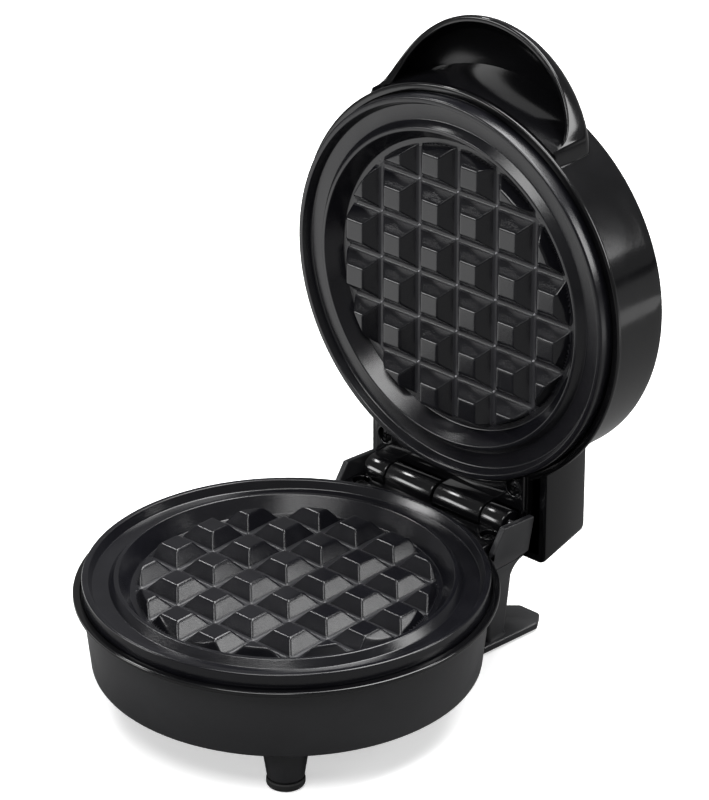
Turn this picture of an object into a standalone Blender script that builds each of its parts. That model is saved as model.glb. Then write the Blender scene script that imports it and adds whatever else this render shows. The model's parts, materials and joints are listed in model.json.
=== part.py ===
"""Small round waffle maker with a hinged lid, standing open.

Units are metres and +Z is up.  The appliance stands on Z = 0 and the origin is
the middle of its footprint.  The base is modelled where it stands.  The lid is
modelled closed, about an empty on the hinge axis, and the empty then turns it
back by LID_OPEN_ANGLE.
"""
import math

import bmesh
import bpy
from mathutils import Matrix, Vector

# ---------------------------------------------------------------- dimensions
GAP = 0.0003                # clearance kept between neighbouring pieces
WALL = 0.0022               # moulded wall thickness
ROUND_STEPS = 56            # facets round the drum
FINE_STEPS = 24             # facets round knuckles, legs and bushes
SMALL_STEPS = 12            # facets round screws and small fittings
SHARP_ANGLE = math.radians(35)

RIM_RADIUS = 0.066          # frame flange, the widest round part
RIM_HEIGHT = 0.040          # base rim plane above the surface it stands on
DRUM_Y = -0.0186          # drum axis, measured from the origin
FLANGE = 0.0016             # thickness of the frame flange
DRUM_DEPTH = 0.0252         # depth of base and lid drums behind their rims
WALL_TOP_RADIUS = 0.0633    # drum wall just behind the flange
BASE_FOOT_RADIUS = 0.0608   # drum wall at the bottom edge of the base
LID_BACK_RADIUS = 0.0631    # drum wall at the top edge of the lid

PLATE_RADIUS = 0.06315      # outer edge of the cooking plates
PLATE_PROUD = 0.00465       # plates stand this far out of their rims
PLATE_SEAT = 0.0006         # underside of the plate edge below the rim plane
CHANNEL_OUTER = 0.0600      # overflow channel
CHANNEL_INNER = 0.0549
CHANNEL_HEIGHT = 0.0018
LIP_RADIUS = 0.0527         # crest of the lip round the cooking cavity
LIP_HEIGHT = 0.0043
CAVITY_RADIUS = 0.0483      # foot of the cavity wall
CAVITY_FLOOR = -0.0010      # valley level, from the rim plane
PLATE_BOTTOM = -0.0036
GRID_PITCH = 0.0159
GRID_RADIUS = 0.0467        # circle that trims the grid
GRID_BLOCKS = 6             # blocks across the grid
BLOCK_TOP = 0.0070          # width of a block at its top
BLOCK_FOOT = 0.0153         # width of a block just under the valley floor
BLOCK_TOP_HEIGHT = 0.0035   # block tops above the rim plane

HINGE_BACK = 0.0715         # hinge axis behind the drum axis
HINGE_UP = 0.0036           # hinge axis above the base rim plane
CLOSED_GAP = 0.0096         # rim to rim with the lid down
LID_OPEN_ANGLE = math.radians(90)
KNUCKLE_RADIUS = 0.00475
KNUCKLE_CLEAR = 0.00515
PIN_RADIUS = 0.0015
PIN_HOLE = 0.00185
PIN_HALF = 0.0308
INNER_KNUCKLE = (0.0005, 0.0200)    # from and to, along the hinge axis
OUTER_KNUCKLE = (0.0205, 0.0295)
BRACKET_HALF = 0.0315       # half width of the raised hinge bracket
BRACKET_PROUD = 0.0023      # bracket face above its rim plane
BRACKET_INNER = 0.0636      # bracket starts at this radius
BRACKET_SCREW = (0.0272, 0.0607)
SCREW_RECESS = 0.0028

CHEEK_HALF = 0.0345         # outer half width of the base hinge block
HEEL_HALF = 0.0372          # outer half width of the lid heel box
HEEL_BACK = 0.0870          # back of the heel, from the drum axis, lid down
HEEL_BACK_TOP = 0.0819
HEEL_OPENING = 0.0023       # heel mouth above the lid rim plane

HOOD_CENTRE = 0.0460        # centre of the handle bulge, ahead of the drum axis
HOOD_RADIUS = 0.0387
HOOD_BEND_REACH = 0.0210    # the handle's top bends down over this length to its outer wall
HOOD_BEND_HEIGHT = 0.0091
HOOD_ARCH_RISE = 0.0152     # height of the handle's free edge above the rim
HOOD_ARCH_HALF = 0.0374
HOOD_ARCH_POWER = 4.1

LEG_SPOTS = {"left": (-0.0305, -0.0335), "right": (0.0348, -0.0374)}
LEG_TOP_RADIUS = 0.0074
LEG_WAIST_RADIUS = 0.0057
LEG_FOOT_HEIGHT = 0.0030    # height of the rubber foot on each front leg
LEG_FOOT_ROUND = (0.0029, 0.0018)   # how far its lower edge is rounded, inward and upward
PAD_HEIGHT = 0.0007
STAND_TOP = (0.0342, 0.0560, 0.0679)        # half width, front and back, at the top
STAND_FOOT = (0.0277, 0.0635, 0.0722)       # the same at the foot plate
STAND_PLATE = 0.0024
REAR_PAD_SPOT = (0.0235, 0.0820)
GLAND_Z = -0.0180           # cord inlet, from the base rim plane

HEATER_RADIUS = 0.0340      # middle of the heating tube's circle
HEATER_TUBE = 0.0030
HEATER_GAP_ANGLE = math.radians(24)
LAMP_SPOTS = ((-0.0070, -0.0400), (0.0070, -0.0400))
LENS_RADIUS = 0.0030
LENS_PROUD = 0.0005

# colours: linear RGB, roughness, metallic
GLOSS_BLACK = ((0.010, 0.010, 0.011), 0.16, 0.0)
SATIN_BLACK = ((0.016, 0.016, 0.018), 0.30, 0.0)
NON_STICK = ((0.045, 0.045, 0.050), 0.38, 0.35)
RUBBER = ((0.012, 0.012, 0.012), 0.80, 0.0)
STEEL = ((0.55, 0.55, 0.56), 0.28, 1.0)
SHEET_METAL = ((0.62, 0.62, 0.62), 0.35, 1.0)
CERAMIC = ((0.78, 0.75, 0.68), 0.60, 0.0)
RED_LENS = ((0.60, 0.03, 0.02), 0.15, 0.0)
GREEN_LENS = ((0.04, 0.42, 0.08), 0.15, 0.0)
WIRE_WHITE = ((0.70, 0.70, 0.66), 0.55, 0.0)


# ------------------------------------------------------------------- helpers
def clear_scene():
    """Remove every object and the materials of an earlier run."""
    for obj in list(bpy.data.objects):
        bpy.data.objects.remove(obj, do_unlink=True)
    for group in list(bpy.data.collections):
        bpy.data.collections.remove(group)
    for material in list(bpy.data.materials):
        bpy.data.materials.remove(material)


def new_collection(name):
    group = bpy.data.collections.new(name)
    bpy.context.scene.collection.children.link(group)
    return group


def colour(obj, look):
    """Give the object its own Principled material."""
    rgb, roughness, metallic = look
    material = bpy.data.materials.new(obj.name)
    material.use_nodes = True
    shader = material.node_tree.nodes["Principled BSDF"]
    shader.inputs["Base Color"].default_value = (*rgb, 1.0)
    shader.inputs["Roughness"].default_value = roughness
    shader.inputs["Metallic"].default_value = metallic
    obj.data.materials.clear()
    obj.data.materials.append(material)


def add_object(name, mesh, spot, parent=None, look=None):
    """Link a mesh as a part, or as a hidden cutter when it has no look."""
    obj = bpy.data.objects.new(name, mesh)
    obj.location = spot
    obj.parent = parent
    if look is None:
        CUTTERS.objects.link(obj)
        obj.hide_render = True
        obj.display_type = "WIRE"
    else:
        PARTS.objects.link(obj)
        colour(obj, look)
    return obj


def mesh_from(name, bm):
    mesh = bpy.data.meshes.new(name)
    bm.to_mesh(mesh)
    bm.free()
    return mesh


def smoothed(mesh):
    """Shade round faces smooth and keep the corners sharp."""
    mesh.shade_smooth()
    mesh.set_sharp_from_angle(angle=SHARP_ANGLE)
    return mesh


def shown_mesh(guide):
    """Replace a guide object by the mesh it shows, with loose caps and seams welded."""
    bpy.context.view_layer.update()
    evaluated = guide.evaluated_get(bpy.context.evaluated_depsgraph_get())
    mesh = bpy.data.meshes.new_from_object(evaluated)
    bm = bmesh.new()
    bm.from_mesh(mesh)
    bmesh.ops.remove_doubles(bm, verts=bm.verts, dist=0.00001)
    bm.to_mesh(mesh)
    bm.free()
    bpy.data.objects.remove(guide, do_unlink=True)
    return smoothed(mesh)


def turned(name, profile, spot, parent=None, look=None, steps=ROUND_STEPS, closed=True):
    """A profile of (radius, height) points turned about the vertical axis."""
    count = len(profile)
    edges = [(i, i + 1) for i in range(count - 1)]
    if closed:
        edges.append((count - 1, 0))
    mesh = bpy.data.meshes.new(name + "_profile")
    mesh.from_pydata([(r, 0.0, z) for r, z in profile], edges, [])
    guide = bpy.data.objects.new(name + "_profile", mesh)
    CUTTERS.objects.link(guide)
    turn = guide.modifiers.new("turn", "SCREW")
    turn.angle = math.tau
    turn.steps = steps
    turn.render_steps = steps
    turn.use_merge_vertices = True
    turn.merge_threshold = 0.00001
    return add_object(name, shown_mesh(guide), spot, parent, look)


def box(name, low, high, spot, parent=None, look=None):
    """A box between two corners."""
    bm = bmesh.new()
    bmesh.ops.create_cube(bm, size=1.0)
    size = Vector(high) - Vector(low)
    middle = (Vector(high) + Vector(low)) / 2
    bmesh.ops.scale(bm, vec=size, verts=bm.verts)
    bmesh.ops.translate(bm, vec=middle, verts=bm.verts)
    return add_object(name, mesh_from(name, bm), spot, parent, look)


def rod(name, radius, start, end, spot, parent=None, look=None, steps=FINE_STEPS, tip_radius=None):
    """A cylinder, or a cone when tip_radius is given, from start to end."""
    start = Vector(start)
    end = Vector(end)
    way = end - start
    turn = way.to_track_quat("Z", "Y").to_matrix().to_4x4()
    bm = bmesh.new()
    bmesh.ops.create_cone(
        bm, cap_ends=True, segments=steps, radius1=radius,
        radius2=radius if tip_radius is None else tip_radius, depth=way.length,
        matrix=Matrix.Translation((start + end) / 2) @ turn)
    return add_object(name, smoothed(mesh_from(name, bm)), spot, parent, look)


def outline(name, points, half_thickness, turn, spot, parent=None, look=None):
    """A flat outline drawn in its own XY plane, thickened both ways, then turned."""
    curve = bpy.data.curves.new(name + "_outline", "CURVE")
    curve.dimensions = "2D"
    curve.fill_mode = "BOTH"
    curve.extrude = half_thickness
    spline = curve.splines.new("POLY")
    spline.points.add(len(points) - 1)
    for knot, (x, y) in zip(spline.points, points):
        knot.co = (x, y, 0.0, 1.0)
    spline.use_cyclic_u = True
    guide = bpy.data.objects.new(name + "_outline", curve)
    CUTTERS.objects.link(guide)
    mesh = shown_mesh(guide)
    mesh.transform(turn)
    return add_object(name, mesh, spot, parent, look)


def tube(name, points, radius, spot, parent=None, look=None, resolution=1, cyclic=False):
    """A wire or bent tube along a list of points."""
    curve = bpy.data.curves.new(name, "CURVE")
    curve.dimensions = "3D"
    curve.bevel_depth = radius
    curve.bevel_resolution = resolution
    curve.use_fill_caps = not cyclic
    spline = curve.splines.new("POLY")
    spline.points.add(len(points) - 1)
    for knot, point in zip(spline.points, points):
        knot.co = (*point, 1.0)
    spline.use_cyclic_u = cyclic
    guide = bpy.data.objects.new(name + "_path", curve)
    CUTTERS.objects.link(guide)
    return add_object(name, shown_mesh(guide), spot, parent, look)


def combine(obj, other, operation):
    """Join, cut or trim an object by another with a Boolean."""
    step = obj.modifiers.new(other.name, "BOOLEAN")
    step.operation = operation
    step.solver = "EXACT"
    step.object = other


def cut(obj, *others):
    for other in others:
        combine(obj, other, "DIFFERENCE")


def join(obj, *others):
    for other in others:
        combine(obj, other, "UNION")


def side_view():
    """Turn an outline's own X and Y into the object's Y and Z."""
    return Matrix(((0, 0, 1, 0), (1, 0, 0, 0), (0, 1, 0, 0), (0, 0, 0, 1)))


def front_view():
    """Turn an outline's own X and Y into the object's X and Z."""
    return Matrix(((1, 0, 0, 0), (0, 0, -1, 0), (0, 1, 0, 0), (0, 0, 0, 1)))


def mirrored(points):
    """Complete an outline from the points of its right half."""
    return points + [(-x, y) for x, y in reversed(points)]


# ------------------------------------------------------------ cooking plates
def cooking_plate(name, spot, parent=None, flip=False):
    """Cast plate: raised edge, overflow channel, lip, cavity and grid of blocks."""
    profile = [
        (0.0, CAVITY_FLOOR),
        (CAVITY_RADIUS, CAVITY_FLOOR),
        (LIP_RADIUS - 0.0008, LIP_HEIGHT),
        (LIP_RADIUS + 0.0004, LIP_HEIGHT),
        (CHANNEL_INNER, CHANNEL_HEIGHT),
        (CHANNEL_OUTER, CHANNEL_HEIGHT),
        (CHANNEL_OUTER + 0.0012, PLATE_PROUD),
        (PLATE_RADIUS - 0.0005, PLATE_PROUD),
        (PLATE_RADIUS, PLATE_PROUD - 0.0005),
        (PLATE_RADIUS, -PLATE_SEAT),
        (0.0522, -PLATE_SEAT),
        (0.0502, PLATE_BOTTOM),
        (0.0, PLATE_BOTTOM),
    ]
    plate = turned(name, profile, spot, parent, NON_STICK, closed=False)
    blocks = grid_blocks(name + "_blocks", spot, parent)
    trim = rod(name + "_trim", GRID_RADIUS, (0, 0, -0.004), (0, 0, 0.006), spot, parent, steps=ROUND_STEPS)
    combine(blocks, trim, "INTERSECT")
    join(plate, blocks)
    if flip:
        for obj in (plate, blocks, trim):
            obj.rotation_euler = (0.0, math.pi, 0.0)
    return plate


def grid_blocks(name, spot, parent):
    """Tapered blocks on a square pitch, those wholly outside the circle left out."""
    bm = bmesh.new()
    foot = CAVITY_FLOOR - 0.0005
    first = -(GRID_BLOCKS - 1) / 2
    for row in range(GRID_BLOCKS):
        for column in range(GRID_BLOCKS):
            x = (first + column) * GRID_PITCH
            y = (first + row) * GRID_PITCH
            nearest = math.hypot(abs(x) - BLOCK_FOOT / 2, abs(y) - BLOCK_FOOT / 2)
            if nearest > GRID_RADIUS - 0.003:
                continue
            made = bmesh.ops.create_cube(bm, size=1.0)
            for vert in made["verts"]:
                top = vert.co.z > 0
                width = BLOCK_TOP if top else BLOCK_FOOT
                height = BLOCK_TOP_HEIGHT if top else foot
                vert.co = (x + vert.co.x * width, y + vert.co.y * width, height)
    return add_object(name, mesh_from(name, bm), spot, parent)


# -------------------------------------------------------------- hinge frames
def frame_ring(name, spot, parent=None):
    """Flange with a step inside it that seats a cooking plate."""
    profile = [
        (RIM_RADIUS, 0.0),
        (RIM_RADIUS, -FLANGE),
        (0.0608, -FLANGE),
        (0.0608, -0.0032),
        (0.0585, -0.0032),
        (0.0585, -0.0009),
        (BRACKET_INNER, -0.0009),
        (BRACKET_INNER, 0.0),
    ]
    return turned(name, profile, spot, parent, GLOSS_BLACK)


def knuckle(name, span, axis, root, back, spot, parent):
    """A hinge barrel rooted in its bracket, drawn as one outline along the axis."""
    reach = min(back - axis[0], KNUCKLE_RADIUS)
    first = -math.acos(reach / KNUCKLE_RADIUS)
    count = 16
    points = [(axis[0] + reach, root)]
    for index in range(count + 1):
        angle = first + (math.pi - first) * index / count
        points.append((axis[0] + KNUCKLE_RADIUS * math.cos(angle), axis[1] + KNUCKLE_RADIUS * math.sin(angle)))
    points.append((axis[0] - KNUCKLE_RADIUS, root))
    middle = ((span[0] + span[1]) / 2 + spot[0], spot[1], spot[2])
    half = (span[1] - span[0]) / 2
    return outline(name, points, half, side_view(), middle, parent)


def hinge_frame(name, spot, parent, axis_height, back, depth, web_back, rear_relief, flip):
    """A frame ring with its hinge bracket, two knuckles and two screw recesses.

    The frame is drawn with its open side up.  The base and the lid frame have
    their knuckles on opposite halves, so that they pass between each other.
    """
    axis = (HINGE_BACK, axis_height)
    frame = frame_ring(name, spot, parent)
    bracket = box(name + "_bracket", (-BRACKET_HALF, 0.045, -depth), (BRACKET_HALF, back, BRACKET_PROUD),
                  spot, parent)
    mouth = rod(name + "_mouth", BRACKET_INNER + 0.0002, (0, 0, -0.0011), (0, 0, 0.02), spot, parent,
                steps=ROUND_STEPS)
    well = rod(name + "_well", 0.0590, (0, 0, -0.02), (0, 0, 0.02), spot, parent, steps=ROUND_STEPS)
    wall_slot = [(0.0640, -0.0017), (0.0640, -0.02), (0.0606, -0.02), (0.0606, -0.0017)]
    under = turned(name + "_under", wall_slot, spot, parent)
    pieces = [frame, bracket, mouth, well, under]
    if flip:
        half = HEEL_HALF - WALL - GAP
        plate = box(name + "_heel_plate", (-half, 0.050, -0.0043), (half, HEEL_BACK - WALL - GAP, -HEEL_OPENING),
                    spot, parent)
        pieces.append(plate)
        join(bracket, plate)
    cut(bracket, mouth, well, under)
    join(frame, bracket)
    own = ((-INNER_KNUCKLE[1], -INNER_KNUCKLE[0]), OUTER_KNUCKLE)
    other = (INNER_KNUCKLE, (-OUTER_KNUCKLE[1], -OUTER_KNUCKLE[0]))
    for index, span in enumerate(other):
        wide = (span[0] - 0.0003, span[1] + 0.0003)
        room = rod(f"{name}_room_{index}", KNUCKLE_CLEAR, (wide[0], *axis), (wide[1], *axis), spot, parent)
        pieces.append(room)
        cut(frame, room)
        if rear_relief:
            relief = box(f"{name}_relief_{index}", (wide[0], HINGE_BACK, axis_height - KNUCKLE_CLEAR),
                         (wide[1], HINGE_BACK + 0.02, axis_height + 0.01), spot, parent)
            pieces.append(relief)
            cut(frame, relief)
    for index, span in enumerate(own):
        barrel = knuckle(f"{name}_knuckle_{index}", span, axis, BRACKET_PROUD - 0.002, web_back, spot, parent)
        pieces.append(barrel)
        join(frame, barrel)
    hole = rod(name + "_pin_hole", PIN_HOLE, (-0.04, *axis), (0.04, *axis), spot, parent, steps=FINE_STEPS)
    pieces.append(hole)
    cut(frame, hole)
    for sign in (-1, 1):
        x = sign * BRACKET_SCREW[0]
        y = BRACKET_SCREW[1] + (0.0030 if not flip else 0.0)
        recess = rod(f"{name}_recess_{sign}", SCREW_RECESS, (x, y, BRACKET_PROUD - 0.0014), (x, y, 0.02),
                     spot, parent, steps=SMALL_STEPS)
        shank = rod(f"{name}_shank_{sign}", 0.0016, (x, y, -0.02), (x, y, 0.01), spot, parent, steps=SMALL_STEPS)
        pieces.extend((recess, shank))
        cut(frame, recess, shank)
    if flip:
        for obj in pieces:
            obj.location.x = 2 * spot[0] - obj.location.x
            obj.rotation_euler = (0.0, math.pi, 0.0)
    return frame


# ------------------------------------------------------------------- base
def drum_wall(low_radius):
    """Profile of a drum wall, running down from the flange to the far edge."""
    top = -FLANGE - GAP
    return [
        (WALL_TOP_RADIUS, top),
        (low_radius, 0.0012 - DRUM_DEPTH),
        (low_radius - 0.0008, -DRUM_DEPTH),
        (low_radius - WALL, -DRUM_DEPTH),
        (WALL_TOP_RADIUS - WALL, top),
    ]


def base_shell(spot):
    """Drum wall with the hinge block behind it: a floor between two cheeks."""
    shell = turned("base_shell", drum_wall(BASE_FOOT_RADIUS), spot, look=SATIN_BLACK)
    side = [(0.050, -0.0061), (0.068, -0.0061), (0.0748, -0.0053), (0.0775, 0.0062),
            (0.063, 0.0073), (0.0580, 0.0004), (0.050, 0.0004)]
    block = outline("base_block", side, CHEEK_HALF, side_view(), spot)
    inner = CHEEK_HALF - WALL
    tray = box("base_tray", (-inner, 0.040, -0.0040), (inner, 0.090, 0.020), spot)
    rear = box("base_rear_relief", (-inner, 0.0750, -0.020), (inner, 0.090, 0.020), spot)
    drum_room = rod("base_drum_room", 0.0612, (0, 0, -0.030), (0, 0, 0.010), spot, steps=ROUND_STEPS)
    flange_room = rod("base_flange_room", RIM_RADIUS + GAP, (0, 0, -FLANGE - GAP), (0, 0, 0.010), spot,
                      steps=ROUND_STEPS)
    cut(block, tray, rear, drum_room, flange_room)
    join(shell, block)
    return shell


def bottom_cover(spot):
    """Disc that closes the drum from below, with vents and screw holes."""
    low = -DRUM_DEPTH
    radius = BASE_FOOT_RADIUS - WALL - GAP
    cover = rod("base_bottom_cover", radius, (0, 0, low), (0, 0, low + 0.0020), spot, look=SATIN_BLACK,
                steps=ROUND_STEPS)
    vents = 8
    for index in range(vents):
        angle = math.tau * (index + 0.5) / vents
        x, y = 0.026 * math.cos(angle), 0.026 * math.sin(angle)
        vent = rod(f"vent_{index}", 0.0022, (x, y, low - 0.002), (x, y, low + 0.004), spot, steps=8)
        cut(cover, vent)
    for index, (x, y) in enumerate(cover_screw_spots()):
        hole = rod(f"cover_hole_{index}", 0.0018, (x, y, low - 0.002), (x, y, low + 0.004), spot,
                   steps=SMALL_STEPS)
        cut(cover, hole)
    return cover


def cover_screw_spots():
    """Three screws on a circle, one of them at the back."""
    angles = (math.radians(90 + 120 * turn) for turn in range(3))
    return [(0.050 * math.cos(a), 0.050 * math.sin(a)) for a in angles]


def screw(name, head, way, spot, parent=None, head_radius=0.0024, length=0.0070):
    """A pan-head screw with a cross recess, its head on the given point."""
    head = Vector(head)
    way = Vector(way)
    body = rod(name, head_radius, head, head - way * 0.0013, spot, parent, STEEL, steps=SMALL_STEPS)
    shank = rod(name + "_shank", 0.0012, head - way * 0.0010, head - way * length, spot, parent,
                steps=SMALL_STEPS)
    join(body, shank)
    across = way.cross(Vector((1, 0, 0)))
    if across.length < 0.5:
        across = way.cross(Vector((0, 1, 0)))
    for index, arm in enumerate((across, way.cross(across))):
        reach = arm * 0.0014
        edge = way.cross(arm) * 0.0003
        low = -reach - edge - way * 0.0007
        high = reach + edge + way * 0.0007
        corners = [[min(a, b) for a, b in zip(low, high)], [max(a, b) for a, b in zip(low, high)]]
        slot = box(f"{name}_slot_{index}", Vector(corners[0]) + head, Vector(corners[1]) + head, spot, parent)
        cut(body, slot)
    return body


def tapered_block(name, top, foot, high, low, spot, look=None):
    """A block whose top and foot are rectangles of (half width, front, back)."""
    bm = bmesh.new()
    bmesh.ops.create_cube(bm, size=2.0)
    for vert in bm.verts:
        half, front, back = top if vert.co.z > 0 else foot
        height = high if vert.co.z > 0 else low
        vert.co = (half * vert.co.x, front if vert.co.y < 0 else back, height)
    return add_object(name, mesh_from(name, bm), spot, look=look)


def rear_stand(spot):
    """Hollow leg behind the drum on a foot plate with two horns for the cord."""
    floor = PAD_HEIGHT + GAP - RIM_HEIGHT
    plate_top = floor + STAND_PLATE
    stand = tapered_block("rear_stand", STAND_TOP, STAND_FOOT, -0.0064, floor + 0.0010, spot, SATIN_BLACK)
    drum_room = rod("stand_drum_room", 0.0636, (0, 0, -0.0270), (0, 0, 0.010), spot, steps=ROUND_STEPS)
    half = [(0.0290, 0.0580), (0.0310, 0.0840), (0.0275, 0.0893), (0.0193, 0.0893), (0.0158, 0.0861),
            (0.0120, 0.0800)]
    plate = outline("stand_plate", mirrored(half), STAND_PLATE / 2, Matrix.Identity(4),
                    (spot[0], spot[1], spot[2] + plate_top - STAND_PLATE / 2))
    thick = 0.0024
    top = (STAND_TOP[0] - thick, 0.0655, STAND_TOP[2] - thick)
    foot = (STAND_FOOT[0] - thick, STAND_FOOT[1] + thick, STAND_FOOT[2] - thick)
    hollow = tapered_block("stand_hollow", top, foot, -0.0090, floor - 0.001, spot)
    hole = rod("gland_hole", 0.0047, (0, 0.060, GLAND_Z), (0, 0.080, GLAND_Z), spot)
    cut(stand, drum_room)
    join(stand, plate)
    cut(stand, hollow, hole)
    return stand


def front_leg(name, leg_spot, spot):
    """Tapered leg under the front of the base and its rubber foot."""
    x, y = leg_spot
    top = -DRUM_DEPTH - GAP
    foot = LEG_FOOT_HEIGHT - RIM_HEIGHT
    leg = rod(name + "_leg", LEG_WAIST_RADIUS, (x, y, foot), (x, y, top), spot, look=SATIN_BLACK,
              tip_radius=LEG_TOP_RADIUS)
    low = -RIM_HEIGHT
    radius = LEG_WAIST_RADIUS + 0.0003
    inward, upward = LEG_FOOT_ROUND
    profile = [(0.0, foot - GAP), (radius, foot - GAP), (radius, low + upward),
               (radius - 0.3 * inward, low + 0.3 * upward), (radius - inward, low), (0.0, low)]
    pad = turned(name + "_foot", profile, (spot[0] + x, spot[1] + y, spot[2]), look=RUBBER,
                 steps=FINE_STEPS, closed=False)
    return leg, pad


def cord_gland(spot):
    """Moulded inlet bush for the supply cord, in the back wall of the stand."""
    profile = [(0.0060, 0.0), (0.0060, -0.0016), (0.0044, -0.0016), (0.0044, -0.0060),
               (0.0026, -0.0060), (0.0026, 0.0)]
    gland = turned("cord_gland", profile, (spot[0], spot[1] + 0.0722, spot[2] + GLAND_Z), look=RUBBER,
                   steps=FINE_STEPS)
    gland.rotation_euler = (math.radians(-90), 0, 0)
    return gland


# --------------------------------------------------------------- lid shell
def hood_arch():
    """Outline under the handle's free edge: a flattened arch, in X and height."""
    count = 24
    points = [(-0.060, -0.010), (0.060, -0.010)]
    for index in range(count + 1):
        x = HOOD_ARCH_HALF * math.cos(math.pi * index / count)
        share = max(0.0, 1.0 - abs(x / HOOD_ARCH_HALF) ** HOOD_ARCH_POWER)
        points.append((x, HOOD_ARCH_RISE * share ** (1 / HOOD_ARCH_POWER)))
    return points


def hood_dome(low, inset, drop):
    """Profile of the handle bulge: an upright wall, then a quarter ellipse up to the lid's top.

    The wall stands inset from the outer one, and the top stays drop below the lid's top.
    """
    bend_from = DRUM_DEPTH - HOOD_BEND_HEIGHT
    middle = HOOD_RADIUS - HOOD_BEND_REACH
    count = 8
    points = [(0.0, low), (HOOD_RADIUS - inset, low)]
    for index in range(count + 1):
        angle = math.pi / 2 * index / count
        radius = middle + (HOOD_BEND_REACH - inset) * math.cos(angle)
        points.append((radius, bend_from + (HOOD_BEND_HEIGHT - drop) * math.sin(angle)))
    points.append((0.0, DRUM_DEPTH - drop))
    return points


def lid_shell(spot, parent):
    """Outer shell of the lid: drum, domed handle in front and heel box behind."""
    top = DRUM_DEPTH
    start = FLANGE + GAP
    inner = WALL_TOP_RADIUS - WALL
    profile = [(0.0, top), (LID_BACK_RADIUS - 0.0012, top), (LID_BACK_RADIUS, top - 0.0012),
               (WALL_TOP_RADIUS, start), (inner, start), (LID_BACK_RADIUS - WALL, top - WALL),
               (0.0, top - WALL)]
    shell = turned("lid_shell", profile, spot, parent, GLOSS_BLACK, closed=False)
    hood_spot = (spot[0], spot[1] - HOOD_CENTRE, spot[2])
    hood = turned("hood_bulge", hood_dome(start, 0.0, 0.0002), hood_spot, parent, closed=False)
    drum_room = rod("hood_drum_room", 0.0619, (0, 0, -0.01), (0, 0, 0.04), spot, parent, steps=ROUND_STEPS)
    behind = box("hood_behind", (-0.060, -0.040, -0.01), (0.060, 0.06, 0.04), spot, parent)
    cut(hood, drum_room, behind)
    grip = turned("grip_room", hood_dome(-0.005, WALL, WALL + 0.0002), hood_spot, parent, closed=False)
    wall_keep = rod("grip_wall", RIM_RADIUS, (0, 0, -0.01), (0, 0, 0.04), spot, parent, steps=ROUND_STEPS)
    cut(grip, wall_keep)
    arch = outline("grip_arch", hood_arch(), 0.025, front_view(), (spot[0], spot[1] - 0.080, spot[2]), parent)
    arch_keep = rod("arch_wall", RIM_RADIUS + 0.0001, (0, 0, -0.02), (0, 0, 0.04), spot, parent,
                    steps=ROUND_STEPS)
    cut(arch, arch_keep)
    cut(hood, grip, arch)
    heel = lid_heel(spot, parent)
    join(shell, hood, heel)
    for index, (x, y) in enumerate(LAMP_SPOTS):
        hole = rod(f"lens_hole_{index}", LENS_RADIUS + GAP, (x, y, 0.0200), (x, y, 0.0300), spot, parent)
        cut(shell, hole)
    return shell


def lid_heel(spot, parent):
    """Box behind the drum that carries the lid over the hinge."""
    top = DRUM_DEPTH - 0.0030
    mouth = HEEL_OPENING
    side = [(0.050, mouth), (HEEL_BACK - 0.002, mouth), (HEEL_BACK, mouth + 0.002),
            (HEEL_BACK_TOP, top - 0.002), (HEEL_BACK_TOP - 0.002, top), (0.050, top)]
    heel = outline("heel_block", side, HEEL_HALF, side_view(), spot, parent)
    inner = [(0.040, mouth - 0.010), (HEEL_BACK - WALL, mouth - 0.010), (HEEL_BACK - WALL, mouth + 0.002),
             (HEEL_BACK_TOP - WALL, top - WALL), (0.040, top - WALL)]
    room = outline("heel_room", inner, HEEL_HALF - WALL, side_view(), spot, parent)
    drum_room = rod("heel_drum_room", 0.0612, (0, 0, -0.01), (0, 0, 0.04), spot, parent, steps=ROUND_STEPS)
    flange_room = rod("heel_flange_room", RIM_RADIUS + GAP, (0, 0, -0.01), (0, 0, FLANGE + GAP), spot, parent,
                      steps=ROUND_STEPS)
    cut(heel, room, drum_room, flange_room)
    return heel


# -------------------------------------------------------------- inner pieces
def heater(name, spot, parent=None, up=1):
    """Tubular element bent into a ring that is open at the back, its ends turned away."""
    depth = PLATE_BOTTOM - GAP - HEATER_TUBE - 0.0002
    count = 26
    start = math.pi / 2 + HEATER_GAP_ANGLE / 2
    sweep = math.tau - HEATER_GAP_ANGLE
    points = []
    for index in range(count + 1):
        angle = start + sweep * index / count
        points.append((HEATER_RADIUS * math.cos(angle), HEATER_RADIUS * math.sin(angle), depth * up))
    ends = []
    for x, y, z in (points[0], points[-1]):
        ends.append((x, y + 0.0008, (depth - 0.0040) * up))
    path = [ends[0]] + points + [ends[1]]
    return tube(name, path, HEATER_TUBE, spot, parent, STEEL, resolution=1)


def reflector(name, spot, parent=None, up=1):
    """Pressed dish that throws the heat back at the plate."""
    low = -0.0142 * up
    high = -0.0060 * up
    sheet = 0.0006 * up
    profile = [(0.0480, high), (0.0450, low), (0.0130, low), (0.0130, low + sheet), (0.0444, low + sheet),
               (0.0474, high)]
    if up < 0:
        profile.reverse()
    dish = turned(name, profile, spot, parent, SHEET_METAL)
    slot = box(name + "_slot", (-0.013, 0.0290, -0.020), (0.013, 0.0400, 0.020), spot, parent)
    cut(dish, slot)
    return dish


def thermostat(name, spot, parent=None, up=1):
    """Bimetal disc thermostat clamped under the middle of a plate."""
    top = (PLATE_BOTTOM - GAP) * up
    body = rod(name, 0.0080, (0, 0, top), (0, 0, top - 0.0060 * up), spot, parent, CERAMIC)
    neck = rod(name + "_neck", 0.0055, (0, 0, top - 0.0050 * up), (0, 0, top - 0.0105 * up), spot, parent)
    join(body, neck)
    return body


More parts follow.
